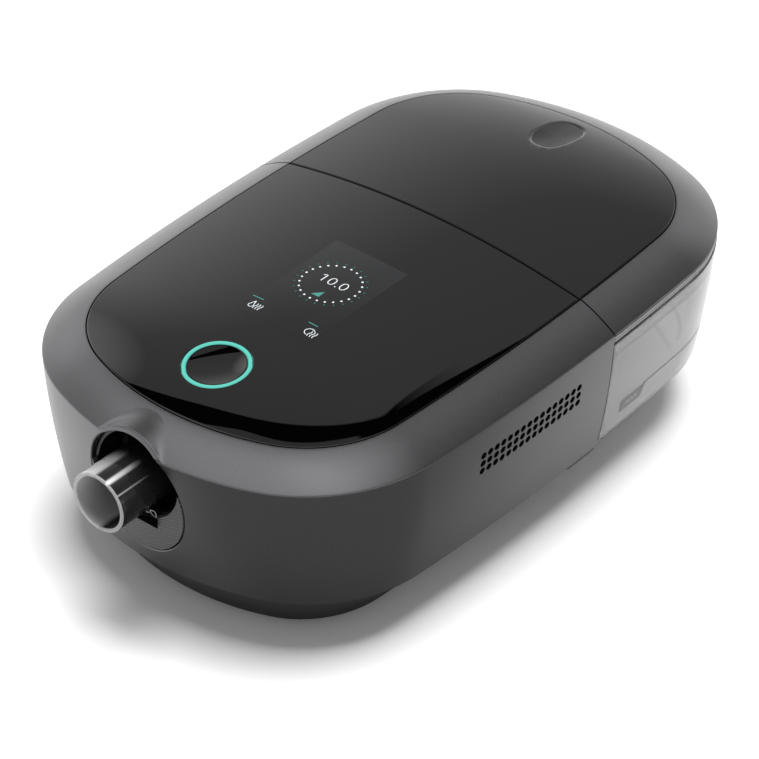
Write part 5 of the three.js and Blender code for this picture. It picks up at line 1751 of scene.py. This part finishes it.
# Floor, light and camera; places on the sky are directions, and reaches and edges are cosines
studio = {
    "floorSize": 12.0,
    "floorWhite": 0.90,
    "floorLift": 0.05,
    # Seen only in reflections, the floor is painted darker on the machine's front-right side: a painted shadow
    "floorSlope": (-0.8, 0.6, 0.0),
    "floorShadowDim": 0.20,
    "floorShadowAt": -0.11,
    "floorFull": 0.86,
    "floorFullAt": -0.02,
    "ambient": 0.38,
    "keyStrength": 4.4,
    "keyAngle": 38.0,
    "keyFrom": (0.03, 0.14, 1.0),
    "cameraPlace": (0.69773, -0.82744, 0.83025),
    "cameraBack": (0.51803, -0.61590, 0.59357),
    "lens": 185.49,
    "sensor": 36.0,
    "lowGlow": 1.5,
    "highGlow": 0.44,
    "highFrom": 0.6,
    "bandGlow": 0.38,
    "bandFrom": (0.55, 0.65),
    "frontSide": (0.12, -0.02),
    "cards": {  # place, reach and glow
        "front": ((-0.15, -0.02, 0.988), (0.76, 0.84), 1.0),
        "top": ((0.20, 0.12, 0.972), (0.90, 0.985), 1.0),
        "left": ((-0.83, 0.20, 0.52), (0.955, 0.985), 0.9),
        "rear": ((-0.02, 0.84, 0.54), (0.965, 0.992), 0.6),
    },
    "shadePlace": (0.62, 0.66, 0.42),
    "shadeReach": (0.84, 0.96),
    "shadeDepth": 0.7,
    "spotPlace": (-0.235, 0.60, 0.765),
    "spotEdge": 0.9925,
    "innerCentre": (-0.6220, 0.5470, 0.5600),
    "innerEdge": 0.9246,
    "innerSide": (-0.840, 0.230, -0.492),
    "innerSideFrom": (0.595, 0.625),
    "outerCentre": (-0.7100, 0.4820, 0.5140),
    "outerEdge": 0.8652,
    "edgeSoft": 0.0009,
}


def buildFloor():
    half, white = studio["floorSize"] / 2, studio["floorWhite"]
    corners = [(-half, -half, 0), (half, -half, 0), (half, half, 0), (-half, half, 0)]
    floor = rawPiece("floor", corners, [(0, 1, 2, 3)])
    material = bpy.data.materials.new("floorFinish")
    material.use_nodes = True
    tree = material.node_tree
    tree.nodes.clear()
    output = tree.nodes.new("ShaderNodeOutputMaterial")
    path = tree.nodes.new("ShaderNodeLightPath").outputs
    # Painted shadow for glossy rays: the floor darkens along the slope towards the front-right side
    along = addNode(tree, "ShaderNodeVectorMath", {0: objectPlace(tree), 1: studio["floorSlope"]},
                    operation="DOT_PRODUCT").outputs["Value"]
    mirrored = ramp(tree, along, studio["floorShadowAt"], studio["floorFullAt"], studio["floorShadowDim"] * white,
                    studio["floorFull"] * white)
    bright = nodeOut(tree, "ShaderNodeMix", {0: path["Is Glossy Ray"], 2: white, 3: mirrored})
    matte = nodeOut(tree, "ShaderNodeBsdfDiffuse", {"Color": bright})
    lift = times(tree, path["Is Camera Ray"], studio["floorLift"])
    glow = nodeOut(tree, "ShaderNodeEmission", {"Strength": lift})
    tree.links.new(nodeOut(tree, "ShaderNodeAddShader", {0: matte, 1: glow}), output.inputs["Surface"])
    floor.data.materials.append(material)


def buildWorld():
    world = bpy.data.worlds.new("studioWorld")
    bpy.context.scene.world = world
    world.use_nodes = True
    tree = world.node_tree
    tree.nodes.clear()
    output = tree.nodes.new("ShaderNodeOutputWorld")
    way = tree.nodes.new("ShaderNodeTexCoord").outputs["Generated"]
    axes = addNode(tree, "ShaderNodeSeparateXYZ", {"Vector": way}).outputs

    def towards(place):
        aimed = tuple(Vector(place).normalized())
        return addNode(tree, "ShaderNodeVectorMath", {0: way, 1: aimed}, operation="DOT_PRODUCT").outputs["Value"]

    def circle(centre, edge, within=0.0, beyond=1.0):
        at, soft = studio[edge], studio["edgeSoft"]
        return ramp(tree, towards(studio[centre]), at - soft, at + soft, within, beyond)

    fade = ramp(tree, axes["Z"], 0.0, studio["highFrom"], studio["lowGlow"], studio["highGlow"])
    side = ramp(tree, towards(studio["innerSide"]), -studio["edgeSoft"], studio["edgeSoft"])
    beside = calc(tree, "MINIMUM", side, ramp(tree, axes["Y"], *studio["innerSideFrom"]))
    inside = calc(tree, "MAXIMUM", circle("innerCentre", "innerEdge"), beside)
    outside = times(tree, circle("outerCentre", "outerEdge", 1.0, 0.0), circle("spotPlace", "spotEdge", 1.0, 0.0))
    outside = times(tree, outside, minus(tree, 1.0, inside))
    low, high = ramp(tree, axes["Z"], *studio["bandFrom"], 1.0, 0.0), ramp(tree, axes["Z"], *studio["bandFrom"])
    disc = times(tree, fade, calc(tree, "MAXIMUM", inside, low))
    glow = plus(tree, disc, times(tree, times(tree, outside, high), studio["bandGlow"]))
    for card, (place, reach, strength) in studio["cards"].items():
        facing = ramp(tree, towards(place), *reach, 0.0, strength)
        if card == "front":
            facing = times(tree, facing, ramp(tree, axes["Y"], *studio["frontSide"]))
        glow = plus(tree, glow, facing)
    shade = ramp(tree, towards(studio["shadePlace"]), *studio["shadeReach"], 1.0, 1 - studio["shadeDepth"])
    path = tree.nodes.new("ShaderNodeLightPath").outputs
    mirrored = times(tree, path["Is Glossy Ray"], times(tree, glow, shade))
    clear = calc(tree, "MAXIMUM", path["Is Camera Ray"], path["Is Transmission Ray"])
    ambient = times(tree, path["Is Diffuse Ray"], studio["ambient"])
    total = plus(tree, plus(tree, mirrored, clear), ambient)
    shown = nodeOut(tree, "ShaderNodeBackground", {"Color": (1.0, 1.0, 1.0, 1.0), "Strength": total})
    tree.links.new(shown, output.inputs["Surface"])


def facingBack(direction):
    return Vector(direction).to_track_quat("Z", "Y").to_euler()


def buildLights():
    sun = bpy.data.lights.new("keyLight", "SUN")
    sun.energy = studio["keyStrength"]
    sun.angle = math.radians(studio["keyAngle"])
    lamp = placeNew("keyLight", sun)
    lamp.rotation_euler = facingBack(studio["keyFrom"])
    lamp.visible_glossy = False


def buildCamera():
    lens = bpy.data.cameras.new("camera")
    lens.lens = studio["lens"]
    lens.sensor_width = studio["sensor"]
    camera = placeNew("camera", lens)
    camera.location = studio["cameraPlace"]
    camera.rotation_euler = facingBack(studio["cameraBack"])
    bpy.context.scene.camera = camera


buildFloor()
buildWorld()
buildLights()
buildCamera()
bpy.context.scene.view_settings.view_transform = "Standard"
print("studio ready")
